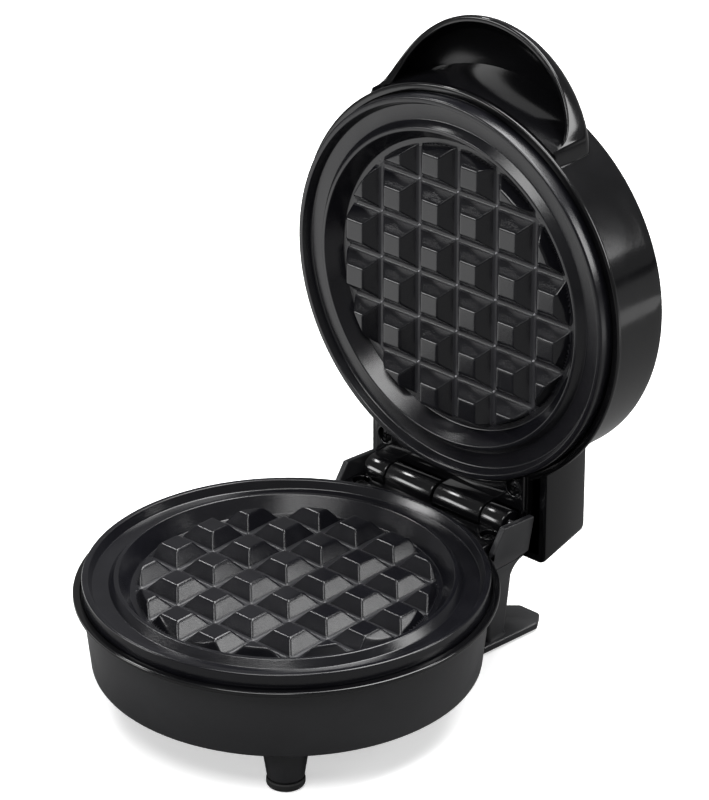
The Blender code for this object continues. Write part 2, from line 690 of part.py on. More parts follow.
def terminal_block(spot):
    """Screw terminals for the supply on the floor of the base."""
    floor = -DRUM_DEPTH + 0.0020 + GAP
    block = box("terminal_block", (-0.0110, 0.0370, floor), (0.0110, 0.0450, floor + 0.0070), spot,
                look=WIRE_WHITE)
    for index, x in enumerate((-0.0062, 0.0, 0.0062)):
        hole = rod(f"terminal_hole_{index}", 0.0014, (x, 0.030, floor + 0.0030), (x, 0.050, floor + 0.0030),
                   spot, steps=8)
        cut(block, hole)
    return block


def thermal_fuse(spot):
    """Sleeved thermal cut-out lying under the reflector."""
    z = -0.0185
    return rod("thermal_fuse", 0.0020, (0.0180, -0.010, z), (0.0180, 0.012, z), spot, look=CERAMIC,
               steps=SMALL_STEPS)


def base_wires(spot):
    """Leads from the terminal block to the two ends of the lower heater."""
    floor = -DRUM_DEPTH + 0.0020 + GAP
    side_x = HEATER_RADIUS * math.sin(HEATER_GAP_ANGLE / 2)
    for side, name in ((-1, "live_wire"), (1, "neutral_wire")):
        start = (side * 0.0062, 0.0365, floor + 0.0030)
        path = [start, (side * 0.0068, 0.0345, floor + 0.0034), (side * 0.0070, 0.0335, floor + 0.0055),
                (side * side_x, 0.0341, -0.0132)]
        tube(name, path, 0.0009, spot, look=WIRE_WHITE)


def lid_lamp(name, x, y, look, spot, parent):
    """Round lens set in the lid, with a stem that reaches the lamp under it."""
    top = DRUM_DEPTH + LENS_PROUD
    profile = [(0.0, top), (LENS_RADIUS - 0.0006, top), (LENS_RADIUS, top - 0.0004),
               (LENS_RADIUS, DRUM_DEPTH - 0.0045), (0.0, DRUM_DEPTH - 0.0045)]
    return turned(name, profile, (spot[0] + x, spot[1] + y, spot[2]), parent, look, steps=FINE_STEPS,
                  closed=False)


def indicator_lamp(name, x, y, spot, parent):
    """Small lamp tube standing under its lens."""
    high = DRUM_DEPTH - 0.0048
    return rod(name, 0.0022, (x, y, high), (x, y, high - 0.0040), spot, parent, RED_LENS, steps=SMALL_STEPS)


# ------------------------------------------------------------------ assembly
def build_base():
    rim = (0.0, DRUM_Y, RIM_HEIGHT)
    base_shell(rim)
    hinge_frame("base_frame", rim, None, HINGE_UP, 0.0747, 0.0037, 0.0744, True, False)
    bottom_cover(rim)
    rear_stand(rim)
    cord_gland(rim)
    for side, name in ((-1, "left"), (1, "right")):
        front_leg("front_" + name, LEG_SPOTS[name], rim)
        pad_x = side * REAR_PAD_SPOT[0]
        rod(f"rear_{name}_foot", 0.0050, (pad_x, REAR_PAD_SPOT[1], -RIM_HEIGHT),
            (pad_x, REAR_PAD_SPOT[1], PAD_HEIGHT - RIM_HEIGHT), rim, look=RUBBER, steps=FINE_STEPS)
        screw_x = side * BRACKET_SCREW[0]
        screw(f"base_frame_screw_{name}", (screw_x, BRACKET_SCREW[1] + 0.0030, BRACKET_PROUD + 0.0002),
              (0, 0, 1), rim, length=0.0052)
    cooking_plate("lower_cooking_plate", rim)
    heater("lower_heater", rim)
    reflector("lower_reflector", rim)
    thermostat("lower_thermostat", rim)
    terminal_block(rim)
    thermal_fuse(rim)
    base_wires(rim)
    for index, (x, y) in enumerate(cover_screw_spots(), start=1):
        screw(f"bottom_cover_screw_{index}", (x, y, -DRUM_DEPTH - GAP - 0.0013), (0, 0, -1), rim)
    rod("hinge_pin", PIN_RADIUS, (-PIN_HALF, HINGE_BACK, HINGE_UP), (PIN_HALF, HINGE_BACK, HINGE_UP), rim,
        look=STEEL, steps=16)


def build_lid():
    """The lid, drawn closed about the hinge axis and then turned back."""
    hinge = bpy.data.objects.new("lid_hinge_axis", None)
    PARTS.objects.link(hinge)
    hinge.location = (0.0, DRUM_Y + HINGE_BACK, RIM_HEIGHT + HINGE_UP)
    rim = (0.0, -HINGE_BACK, CLOSED_GAP - HINGE_UP)
    lid_shell(rim, hinge)
    hinge_frame("lid_frame", rim, hinge, CLOSED_GAP - HINGE_UP, 0.0806, 0.0043, HINGE_BACK + KNUCKLE_RADIUS,
                False, True)
    cooking_plate("upper_cooking_plate", rim, hinge, flip=True)
    heater("upper_heater", rim, hinge, up=-1)
    reflector("upper_reflector", rim, hinge, up=-1)
    thermostat("upper_thermostat", rim, hinge, up=-1)
    for (x, y), name, look in zip(LAMP_SPOTS, ("power", "ready"), (RED_LENS, GREEN_LENS)):
        lid_lamp(name + "_lamp_lens", x, y, look, rim, hinge)
        indicator_lamp(name + "_lamp", x, y, rim, hinge)
    for side, name in ((-1, "left"), (1, "right")):
        screw(f"lid_frame_screw_{name}", (side * BRACKET_SCREW[0], BRACKET_SCREW[1], -BRACKET_PROUD - 0.0002),
              (0, 0, -1), rim, hinge, length=0.0052)
    hinge.rotation_euler = (-LID_OPEN_ANGLE, 0.0, 0.0)


clear_scene()
PARTS = new_collection("waffle_maker")
CUTTERS = new_collection("cutters")
build_base()
build_lid()
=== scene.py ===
import json
import math

import bmesh
import bpy
import numpy as np
from mathutils import Matrix, Vector


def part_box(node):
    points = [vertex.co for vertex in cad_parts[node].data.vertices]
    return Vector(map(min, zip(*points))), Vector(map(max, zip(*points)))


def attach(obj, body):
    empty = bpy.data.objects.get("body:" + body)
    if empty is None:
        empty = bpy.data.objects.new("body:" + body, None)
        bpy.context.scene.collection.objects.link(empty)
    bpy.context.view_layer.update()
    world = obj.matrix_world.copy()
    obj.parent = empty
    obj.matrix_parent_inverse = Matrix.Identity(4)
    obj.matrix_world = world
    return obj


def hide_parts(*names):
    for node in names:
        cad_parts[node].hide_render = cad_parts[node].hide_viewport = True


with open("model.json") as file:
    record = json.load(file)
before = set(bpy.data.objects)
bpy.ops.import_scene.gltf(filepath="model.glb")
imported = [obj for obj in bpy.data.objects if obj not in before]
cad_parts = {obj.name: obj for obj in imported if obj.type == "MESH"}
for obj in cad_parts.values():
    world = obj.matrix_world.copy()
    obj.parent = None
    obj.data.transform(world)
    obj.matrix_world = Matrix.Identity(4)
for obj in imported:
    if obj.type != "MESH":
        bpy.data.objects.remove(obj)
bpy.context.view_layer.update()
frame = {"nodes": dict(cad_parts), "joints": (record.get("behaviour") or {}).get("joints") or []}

# ---------------------------------------------------------------- the stage
# The appliance stands on a plain white table under softboxes overhead, in front and at each side, and
# two lamps lying on the table light it from below.  The camera looks down on it from the front right.
# Table and backdrop show white but throw little light, which keeps the black faces deep.
floor_mesh = bpy.data.meshes.new("table_top")
floor_mesh.from_pydata([(-6, -6, 0), (6, -6, 0), (6, 6, 0), (-6, 6, 0)], [], [(0, 1, 2, 3)])
table_top = bpy.data.objects.new("table_top", floor_mesh)
bpy.context.collection.objects.link(table_top)
table_paint = bpy.data.materials.new("table_paint")
table_paint.use_nodes = True
table_shader = table_paint.node_tree.nodes["Principled BSDF"]
table_shader.inputs["Roughness"].default_value = 0.9
table_seen = table_paint.node_tree.nodes.new("ShaderNodeLightPath")
for table_input, unseen, shown in (("Base Color", 0.16, 0.93), ("Emission Strength", 0.0, 0.50)):
    table_level = table_paint.node_tree.nodes.new("ShaderNodeMapRange")
    table_level.inputs["To Min"].default_value = unseen
    table_level.inputs["To Max"].default_value = shown
    table_paint.node_tree.links.new(table_seen.outputs["Is Camera Ray"], table_level.inputs["Value"])
    table_paint.node_tree.links.new(table_level.outputs["Result"], table_shader.inputs[table_input])
table_shader.inputs["Emission Color"].default_value = (1.0, 1.0, 1.0, 1.0)
floor_mesh.materials.append(table_paint)

camera_data = bpy.data.cameras.new("studio_camera")
camera_data.lens = 185.7
camera_data.sensor_width = 36.0
camera = bpy.data.objects.new("studio_camera", camera_data)
bpy.context.collection.objects.link(camera)
bpy.context.scene.camera = camera
view_from, view_above, view_distance = math.radians(42.65), math.radians(26.55), 1.314
look_at = Vector((-0.0263, 0.0409, 0.0730))
view_back = Vector((math.sin(view_from) * math.cos(view_above), -math.cos(view_from) * math.cos(view_above),
                    math.sin(view_above)))
camera.location = look_at + view_back * view_distance
camera.rotation_euler = view_back.to_track_quat("Z", "Y").to_euler()


def softbox(name, spot, aim, width, height, power):
    """A rectangular light at spot that faces aim."""
    data = bpy.data.lights.new(name, "AREA")
    data.shape = "RECTANGLE"
    data.size = width
    data.size_y = height
    data.energy = power
    lamp = bpy.data.objects.new(name, data)
    bpy.context.collection.objects.link(lamp)
    lamp.location = spot
    lamp.rotation_euler = (Vector(spot) - Vector(aim)).to_track_quat("Z", "Y").to_euler()
    lamp.visible_camera = False


softbox("overhead_softbox", (0.15, 0.75, 1.70), (0, 0.02, 0.0), 1.5, 0.9, 46.0)
softbox("front_overhead_softbox", (0.35, -0.90, 1.60), (0, -0.1, 0.0), 1.0, 0.7, 18.0)
softbox("left_softbox", (-0.95, 0.05, 1.22), (0.0, 0.05, 0.05), 0.50, 0.15, 4.5)
softbox("front_left_softbox", (-0.80, -0.98, 0.36), (0.0, 0.05, 0.08), 0.45, 0.34, 5.0)
softbox("low_left_softbox", (-0.24, -0.15, 0.003), (-0.24, -0.15, 1.0), 0.24, 0.30, 0.27)
softbox("right_softbox", (1.30, 1.05, 0.75), (0.15, 0.15, 0.0), 0.5, 0.8, 9.0)
softbox("low_right_softbox", (0.42, 0.26, 0.003), (0.42, 0.26, 1.0), 0.30, 0.34, 0.30)

studio = bpy.data.worlds.new("studio")
studio.use_nodes = True
bpy.context.scene.world = studio
backdrop = studio.node_tree.nodes["Background"]
seen = studio.node_tree.nodes.new("ShaderNodeLightPath")
level = studio.node_tree.nodes.new("ShaderNodeMapRange")
level.inputs["To Min"].default_value = 0.22
level.inputs["To Max"].default_value = 1.0
studio.node_tree.links.new(seen.outputs["Is Camera Ray"], level.inputs["Value"])
studio.node_tree.links.new(level.outputs["Result"], backdrop.inputs["Strength"])
backdrop.inputs["Color"].default_value = (1.0, 1.0, 1.0, 1.0)
bpy.context.scene.view_settings.view_transform = "Standard"

# ------------------------------------------------------------- base drum wall
# The lower casing is one satin black phenolic moulding, a drum that narrows slightly to its
# rounded bottom edge, with a draft of two degrees so that it leaves the mould.
frame_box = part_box("base_frame")
shell_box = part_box("base_shell")
rim_radius = frame_box[1].x
drum_depth = 0.0252
drum_y = frame_box[0].y + rim_radius
rim_z = shell_box[0].z + drum_depth


def on_base(points):
    """Base pieces are drawn about the middle of the rim plane: (x, y, z) moves up and back to it."""
    return points + np.array([0.0, drum_y, rim_z])


def soft_corners(corners, radius, closed=True, steps=5):
    """Outline with each corner replaced by the arc of that radius that touches both its sides.

    The arc starts radius / tan(half the corner angle) from the corner, at most 0.45 of a side.
    """
    corner = np.array(corners, float)
    radius = np.broadcast_to(np.asarray(radius, float), len(corner))
    back = np.roll(corner, 1, axis=0) - corner
    ahead = np.roll(corner, -1, axis=0) - corner
    back_length = np.linalg.norm(back, axis=1)
    ahead_length = np.linalg.norm(ahead, axis=1)
    back /= back_length[:, None]
    ahead /= ahead_length[:, None]
    half = 0.5 * np.arccos(np.clip((back * ahead).sum(1), -0.9999, 0.9999))
    reach = np.minimum(radius / np.tan(half), 0.45 * np.minimum(back_length, ahead_length))
    share = np.linspace(0.0, 1.0, steps + 1)[None, :, None]
    start = (corner + back * reach[:, None])[:, None, :]
    end = (corner + ahead * reach[:, None])[:, None, :]
    weight = np.sin(half)[:, None, None]
    low = (1 - share) ** 2
    middle = 2 * weight * share * (1 - share)
    high = share ** 2
    arcs = (low * start + middle * corner[:, None, :] + high * end) / (low + middle + high)
    if closed:
        return arcs.reshape(-1, 2)
    return np.vstack([corner[:1], arcs[1:-1].reshape(-1, 2), corner[-1:]])


def grid_faces(rows, columns, wrap_rows, wrap_columns):
    """Quads of a grid of rows by columns, facing out when rows run down and columns turn left."""
    row = np.arange(rows if wrap_rows else rows - 1)
    column = np.arange(columns if wrap_columns else columns - 1)
    row, column = np.meshgrid(row, column, indexing="ij")
    below = (row + 1) % rows
    beside = (column + 1) % columns
    corners = [row * columns + column, below * columns + column, below * columns + beside,
               row * columns + beside]
    return np.stack(corners, axis=-1).reshape(-1, 4)


def piece(name, points, faces, body, look, nodes, caps=(), sharp=40.0):
    """Make the mesh at its place, close its poles, shade it and hang it on its CAD body."""
    mesh = bpy.data.meshes.new(name)
    mesh.from_pydata(points.reshape(-1, 3).tolist(), [], [list(face) for face in faces.tolist()] + list(caps))
    build = bmesh.new()
    build.from_mesh(mesh)
    bmesh.ops.remove_doubles(build, verts=build.verts, dist=2e-6)
    bmesh.ops.dissolve_degenerate(build, edges=build.edges, dist=1e-7)
    build.to_mesh(mesh)
    build.free()
    mesh.shade_smooth()
    mesh.set_sharp_from_angle(angle=math.radians(sharp))
    thing = bpy.data.objects.new(name, mesh)
    bpy.context.collection.objects.link(thing)
    mesh.materials.append(look)
    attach(thing, body)
    if nodes:
        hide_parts(*nodes)
    return thing


def lathe(profile, steps=224):
    """Profile (r, z) turned about the vertical: (r cos a, r sin a, z), as rows by steps points."""
    angle = np.arange(steps) * math.tau / steps
    radius = profile[:, :1]
    height = np.broadcast_to(profile[:, 1:], (len(profile), steps))
    return np.stack([radius * np.cos(angle), radius * np.sin(angle), height], axis=-1)


def turned_piece(name, profile, place, body, look, nodes, closed=True, steps=224, sharp=40.0):
    points = lathe(profile, steps)
    faces = grid_faces(len(profile), steps, closed, True)
    return piece(name, place(points), faces, body, look, nodes, sharp=sharp)


def surface_texture():
    """Node group: skin of a moulding or coating, worked out from the piece's own coordinates.

    Height is fine grain plus slow waviness, Smear is a mask of wiped patches, Speckle of dust.
    """
    group = bpy.data.node_groups.new("surface_texture", "ShaderNodeTree")
    for label, value in (("Grain Size", 2500.0), ("Grain", 1.0), ("Wave Size", 60.0), ("Wave", 1.0)):
        socket = group.interface.new_socket(label, in_out="INPUT", socket_type="NodeSocketFloat")
        socket.default_value = value
    for label in ("Height", "Smear", "Speckle"):
        group.interface.new_socket(label, in_out="OUTPUT", socket_type="NodeSocketFloat")
    nodes, links = group.nodes, group.links
    inside = nodes.new("NodeGroupInput")
    outside = nodes.new("NodeGroupOutput")
    place = nodes.new("ShaderNodeTexCoord")
    grain = nodes.new("ShaderNodeTexNoise")
    grain.inputs["Detail"].default_value = 2.0
    wave = nodes.new("ShaderNodeTexNoise")
    wave.inputs["Detail"].default_value = 1.0
    smear = nodes.new("ShaderNodeTexNoise")
    smear.inputs["Scale"].default_value = 38.0
    smear.inputs["Detail"].default_value = 5.0
    smear.inputs["Distortion"].default_value = 1.4
    speck = nodes.new("ShaderNodeTexVoronoi")
    speck.inputs["Scale"].default_value = 420.0
    for texture in (grain, wave, smear, speck):
        links.new(place.outputs["Object"], texture.inputs["Vector"])
    links.new(inside.outputs["Grain Size"], grain.inputs["Scale"])
    links.new(inside.outputs["Wave Size"], wave.inputs["Scale"])
    fine = nodes.new("ShaderNodeMath")
    fine.operation = "MULTIPLY"
    links.new(grain.outputs["Fac"], fine.inputs[0])
    links.new(inside.outputs["Grain"], fine.inputs[1])
    slow = nodes.new("ShaderNodeMath")
    slow.operation = "MULTIPLY_ADD"
    links.new(wave.outputs["Fac"], slow.inputs[0])
    links.new(inside.outputs["Wave"], slow.inputs[1])
    links.new(fine.outputs["Value"], slow.inputs[2])
    links.new(slow.outputs["Value"], outside.inputs["Height"])
    patch = nodes.new("ShaderNodeMapRange")
    patch.inputs["From Min"].default_value = 0.42
    patch.inputs["From Max"].default_value = 0.66
    links.new(smear.outputs["Fac"], patch.inputs["Value"])
    links.new(patch.outputs["Result"], outside.inputs["Smear"])
    dust = nodes.new("ShaderNodeMapRange")
    dust.inputs["From Min"].default_value = 0.10
    dust.inputs["From Max"].default_value = 0.03
    links.new(speck.outputs["Distance"], dust.inputs["Value"])
    links.new(dust.outputs["Result"], outside.inputs["Speckle"])
    return group


skin = surface_texture()


def finish(name, colour, tint, roughness, grain, wave, bump, metallic=0.0, dust=0.03):
    """One material: colour drifting to tint and roughness rising where the skin is smeared.

    grain is (size, strength) and wave is (size, strength) of the bumps, bump their height in metres.
    """
    material = bpy.data.materials.new(name)
    material.use_nodes = True
    nodes, links = material.node_tree.nodes, material.node_tree.links
    shader = nodes["Principled BSDF"]
    shader.inputs["Metallic"].default_value = metallic
    texture = nodes.new("ShaderNodeGroup")
    texture.node_tree = skin
    for label, value in zip(("Grain Size", "Grain", "Wave Size", "Wave"), (*grain, *wave)):
        texture.inputs[label].default_value = value
    blend = nodes.new("ShaderNodeMix")
    blend.data_type = "RGBA"
    blend.inputs[6].default_value = (*colour, 1.0)
    blend.inputs[7].default_value = (*tint, 1.0)
    links.new(texture.outputs["Smear"], blend.inputs[0])
    lint = nodes.new("ShaderNodeMix")
    lint.data_type = "RGBA"
    lint.inputs[7].default_value = (0.30, 0.30, 0.30, 1.0)
    amount = nodes.new("ShaderNodeMath")
    amount.operation = "MULTIPLY"
    amount.inputs[1].default_value = dust
    links.new(texture.outputs["Speckle"], amount.inputs[0])
    links.new(amount.outputs["Value"], lint.inputs[0])
    links.new(blend.outputs[2], lint.inputs[6])
    links.new(lint.outputs[2], shader.inputs["Base Color"])
    rough = nodes.new("ShaderNodeMapRange")
    rough.inputs["To Min"].default_value = roughness[0]
    rough.inputs["To Max"].default_value = roughness[1]
    links.new(texture.outputs["Smear"], rough.inputs["Value"])
    links.new(rough.outputs["Result"], shader.inputs["Roughness"])
    relief = nodes.new("ShaderNodeBump")
    relief.inputs["Distance"].default_value = bump
    links.new(texture.outputs["Height"], relief.inputs["Height"])
    links.new(relief.outputs["Normal"], shader.inputs["Normal"])
    return material


satin_black = finish("satin_black_moulding", (0.0190, 0.0192, 0.0212), (0.0225, 0.0228, 0.0250), (0.30, 0.38),
                     (1800.0, 0.35), (70.0, 1.0), 0.00006)
wall_top, wall_foot, wall_back, wall = 0.0633, 0.0608, 0.0631, 0.0022
flange, clearance = 0.0016, 0.0003
wall_profile = soft_corners([(wall_top, -flange - clearance), (wall_foot, -drum_depth),
                             (wall_foot - wall, -drum_depth), (wall_top - wall, -flange - clearance)],
                            (0.0003, 0.0011, 0.0004, 0.0003))
turned_piece("base_drum", wall_profile, on_base, "base", satin_black, ["base_shell"])

# ------------------------------------------------------------ base hinge block
# Two thin cheeks and a floor stand out behind the drum in the same moulding.  They box in the
# hinge from below, and each cheek has its top corner cut back where the lid's heel swings past.


def slab(outline, low, high, edge=0.0004, steps=3):
    """An outline (u, v) carried along w, with edges rounded to the given radius.

    Each loop is the outline moved in by edge (1 - cos a), at edge (1 - sin a) from the end.
    """
    outline = np.asarray(outline, float)
    along = np.roll(outline, -1, axis=0) - np.roll(outline, 1, axis=0)
    along /= np.maximum(np.linalg.norm(along, axis=1), 1e-12)[:, None]
    inward = np.stack([-along[:, 1], along[:, 0]], axis=1)
    angle = np.linspace(0.0, math.pi / 2, steps + 1)
    inset = np.concatenate([edge * (1 - np.cos(angle))[::-1], edge * (1 - np.cos(angle))])
    height = np.concatenate([high - edge * (1 - np.sin(angle))[::-1], low + edge * (1 - np.sin(angle))])
    flat = outline[None] + inward[None] * inset[:, None, None]
    level = np.broadcast_to(height[:, None, None], (*flat.shape[:2], 1))
    return np.concatenate([flat, level], axis=-1)


def across(points):
    """Turn (u, v, w) of a side outline into y, z and x."""
    return points[..., [2, 0, 1]]


def slab_piece(name, outline, low, high, place, body, look, nodes=(), edge=0.0004):
    points = slab(outline, low, high, edge)
    rows, count = points.shape[:2]
    faces = grid_faces(rows, count, False, True)
    top = list(range(count))
    foot = list(range((rows - 1) * count, rows * count))[::-1]
    return piece(name, place(points), faces, body, look, nodes, caps=(top, foot), sharp=50.0)


cheek_half = 0.0345
cheek_outline = soft_corners([(0.0520, -0.0061), (0.0680, -0.0061), (0.0748, -0.0053), (0.0775, 0.0062),
                              (0.0630, 0.0073), (0.0579, 0.0002), (0.0577, -0.0019), (0.0520, -0.0019)],
                             (0.0003, 0.0030, 0.0008, 0.0007, 0.0008, 0.0003, 0.0003, 0.0003))


def base_side(points):
    return on_base(across(points))


for side, cheek_x in (("left", -cheek_half), ("right", cheek_half - wall)):
    slab_piece(f"base_cheek_{side}", cheek_outline, cheek_x, cheek_x + wall, base_side, "base", satin_black,
               ["base_shell"], edge=0.0005)
floor_half, floor_front, floor_back = 0.0336, 0.0530, 0.0747
floor_low, floor_high = -0.0061, -0.0040
floor_outline = soft_corners([(-floor_half, floor_front), (floor_half, floor_front), (floor_half, floor_back),
                              (-floor_half, floor_back)], 0.0005)
slab_piece("base_hinge_floor", floor_outline, floor_low, floor_high, on_base, "base", satin_black,
           ["base_shell"], edge=0.0005)

# ---------------------------------------------------------------- base frame
# A gloss black moulded ring lies on the drum wall as a thin lip and seats the cooking plate.
# Behind it the ring swells into a raised bracket with one long hinge barrel, one short lug and two
# round wells for the screws, each with a rolled edge.
gloss_black = finish("gloss_black_moulding", (0.0030, 0.0030, 0.0036), (0.0045, 0.0045, 0.0050), (0.10, 0.16),
                     (1500.0, 0.15), (55.0, 1.0), 0.00005)
ring_corners = [(rim_radius, 0.0), (rim_radius, -flange), (0.0608, -flange), (0.0608, -0.0032),
                (0.0585, -0.0032), (0.0585, -0.0009), (0.0636, -0.0009), (0.0636, 0.0)]
ring_profile = soft_corners(ring_corners, (0.0006, 0.0006, 0.0002, 0.0002, 0.0002, 0.0002, 0.0002, 0.0003))
turned_piece("base_rim", ring_profile, on_base, "base", gloss_black, ["base_frame"])

hinge = frame["joints"][0]["pos_m"]
hinge_back = hinge[1] - drum_y
hinge_up = hinge[2] - rim_z
barrel_radius = 0.00475
bracket_half, bracket_inner, bracket_back, notch_front = 0.0315, 0.0638, 0.0745, 0.0664
bracket_top, bracket_foot = 0.0023, -0.0037
inner_span, outer_span = (0.0005, 0.0200), (0.0205, 0.0295)


def bracket_outline(back, notches, step_in):
    """Bracket seen from above: straight sides and back, the front on the plate's circle.

    Each notch is a span in x, from right to left, where the back edge steps in to step_in.
    """
    corners = [(bracket_half, math.sqrt(bracket_inner ** 2 - bracket_half ** 2)), (bracket_half, back)]
    for right, left in notches:
        corners += [(right, back), (right, step_in), (left, step_in), (left, back)]
    corners += [(-bracket_half, back), (-bracket_half, corners[0][1])]
    straight = soft_corners(corners, 0.0006, closed=False, steps=3)
    reach = math.asin(bracket_half / bracket_inner) - 0.035
    angle = math.pi / 2 + np.linspace(reach, -reach, 40)
    front = bracket_inner * np.stack([np.cos(angle), np.sin(angle)], axis=1)
    return np.vstack([straight, front])


def knuckle_outline(up, back, root):
    """Side view of a barrel, in y and height: its circle from the back web over to the front foot."""
    first = -math.acos(min(back, barrel_radius) / barrel_radius)
    angle = np.linspace(first, math.pi, 40)
    barrel = np.array([hinge_back, up]) + barrel_radius * np.stack([np.cos(angle), np.sin(angle)], axis=1)
    feet = [(hinge_back - barrel_radius, root), (hinge_back + min(back, barrel_radius), root)]
    return np.vstack([barrel, feet])


def bore(thing, centre, way, radius, depth):
    """Cut a round well of that depth into a finished piece, from centre against way."""
    build = bmesh.new()
    turned_to = Vector(way).to_track_quat("Z", "Y").to_matrix().to_4x4()
    bmesh.ops.create_cone(build, cap_ends=True, segments=64, radius1=radius, radius2=radius, depth=2 * depth,
                          matrix=Matrix.Translation(Vector(centre)) @ turned_to)
    mesh = bpy.data.meshes.new("bore")
    build.to_mesh(mesh)
    build.free()
    cutter = bpy.data.objects.new("bore", mesh)
    bpy.context.collection.objects.link(cutter)
    step = thing.modifiers.new("bore", "BOOLEAN")
    step.object = cutter
    step.solver = "EXACT"
    bpy.context.view_layer.update()
    bored = bpy.data.meshes.new_from_object(thing.evaluated_get(bpy.context.evaluated_depsgraph_get()))
    thing.modifiers.clear()
    thing.data = bored
    bored.shade_smooth()
    bored.set_sharp_from_angle(angle=math.radians(40))
    bpy.data.objects.remove(cutter, do_unlink=True)


barrel_notches = [(inner_span[1] + clearance, inner_span[0] - clearance),
                  (-outer_span[0] + clearance, -outer_span[1] - clearance)]
slab_piece("base_bracket_floor", bracket_outline(bracket_back, [], 0.0), bracket_foot, -flange, on_base,
           "base", gloss_black, ["base_frame"])
base_bracket = slab_piece("base_bracket", bracket_outline(bracket_back, barrel_notches, notch_front), -0.0020,
                          bracket_top, on_base, "base", gloss_black, ["base_frame"])
screw_out, base_screw_back = 0.0272, 0.0637
well_radius, well_depth = 0.0030, 0.0020
roll_turn = np.linspace(0.0, math.tau, 17)[:-1]
roll_profile = np.column_stack([well_radius + 0.0001 + 0.00035 * np.cos(roll_turn),
                                0.00022 * np.sin(roll_turn)])[::-1]
for side, sign in (("left", -1), ("right", 1)):
    well = np.array([sign * screw_out, base_screw_back, bracket_top])
    bore(base_bracket, on_base(well), (0, 0, 1), well_radius, well_depth)
    turned_piece(f"base_well_rim_{side}", roll_profile, lambda points: on_base(points + well), "base",
                 gloss_black, ["base_frame"], steps=64)
base_knuckle = knuckle_outline(hinge_up, 0.0029, -0.0010)
slab_piece("base_barrel", base_knuckle, -inner_span[1], -inner_span[0], base_side, "base", gloss_black,
           ["base_frame"], edge=0.0005)
slab_piece("base_lug", base_knuckle, outer_span[0], outer_span[1], base_side, "base", gloss_black,
           ["base_frame"], edge=0.0005)

# --------------------------------------------------------------- hinge pin
# A plain steel rod runs through all four barrels.  Its domed ends show beside the outer lugs.
bright_steel = finish("bright_steel", (0.52, 0.52, 0.53), (0.38, 0.38, 0.39), (0.22, 0.36), (3000.0, 0.4),
                      (90.0, 0.6), 0.00004, metallic=1.0)


def pin_place(points):
    """Turn a lathed rod onto the hinge axis: its height becomes x."""
    return points[..., [2, 0, 1]] + np.array(hinge)


pin_half, pin_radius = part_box("hinge_pin")[1].x, 0.0015
pin_profile = soft_corners([(0.0, pin_half), (pin_radius, pin_half), (pin_radius, -pin_half),
                            (0.0, -pin_half)], 0.0006, closed=False)
turned_piece("steel_hinge_pin", pin_profile, pin_place, "base", bright_steel, ["hinge_pin"],
             closed=False, steps=48)

# ----------------------------------------------------------- cooking plates
# Each plate is an aluminium casting under a sprayed dark non-stick coat.  Its faces low in the valleys
# get a paler colour, a painted sheen standing in for the light that the valley floors reflect.  A raised
# edge, an overflow channel and a rounded lip ring the cavity, which is filled by a grid of tapered blocks,
# with a small stud wherever two valleys cross, coloured pale as a painted highlight.
non_stick = finish("non_stick_coat", (0.0050, 0.0050, 0.0068), (0.0066, 0.0066, 0.0088), (0.17, 0.23),
                   (3200.0, 0.8), (90.0, 0.4), 0.00003, dust=0.02)
plate_proud, floor_level, block_height = 0.00465, -0.0010, 0.0035
plate_corners = [(0.0, floor_level), (0.0483, floor_level), (0.0519, 0.0043), (0.0531, 0.0043),
                 (0.0549, 0.0018), (0.0600, 0.0018), (0.0612, plate_proud), (0.0631, plate_proud),
                 (0.06315, -0.0006), (0.0522, -0.0006), (0.0502, -0.0036), (0.0, -0.0036)]
plate_profile = soft_corners(plate_corners, (0, 0.0006, 0.0006, 0.0006, 0.0005, 0.0006, 0.0005, 0.0006,
                                             0.0003, 0.0003, 0.0003, 0), closed=False, steps=6)
pitch, blocks_across, grid_radius = 0.0159, 6, 0.0467
block_top_half, block_slope = 0.0035, 1.20


def soft_least(heights, softness):
    """The least of several heights, rounded where they meet: -s log(sum of exp(-h / s))."""
    lowest = np.minimum.reduce(heights)
    return lowest - softness * np.log(sum(np.exp(-(height - lowest) / softness) for height in heights))


def waffle_grid(lines_per_block=54):
    """Height over the plate of the grid of blocks, on a square net of x and y.

    A block is the least of its flat top and the slopes falling from its edges in x and in y; all of
    them are cut back by a cone at the grid's circle.  The valleys between have rounded bottoms.
    """
    half = blocks_across * pitch / 2
    line = np.linspace(-half, half, blocks_across * lines_per_block + 1)
    x, y = np.meshgrid(line, line, indexing="ij")
    along_x = np.abs((x / pitch) % 1.0 - 0.5) * pitch
    along_y = np.abs((y / pitch) % 1.0 - 0.5) * pitch
    radius = np.hypot(x, y)
    slope_x = block_height - (along_x - block_top_half) * block_slope
    slope_y = block_height - (along_y - block_top_half) * block_slope
    rim = block_height - (radius - grid_radius + 0.0016) * 3.2
    height = soft_least([np.full_like(x, block_height), slope_x, slope_y, rim], 0.00018)
    valley = np.full_like(x, floor_level) - 0.0003 * (radius > grid_radius - 0.001)
    height = -soft_least([-height, -valley], 0.00015)
    keep = radius < grid_radius + 0.0006
    faces = grid_faces(len(line), len(line), False, False)
    faces = faces[keep.reshape(-1)[faces].all(axis=1)]
    return np.stack([x, y, height], axis=-1), faces


def bare_points(points, faces):
    """Drop the points that no face uses, and renumber the faces."""
    used, renumbered = np.unique(faces, return_inverse=True)
    return points.reshape(-1, 3)[used], renumbered.reshape(faces.shape)


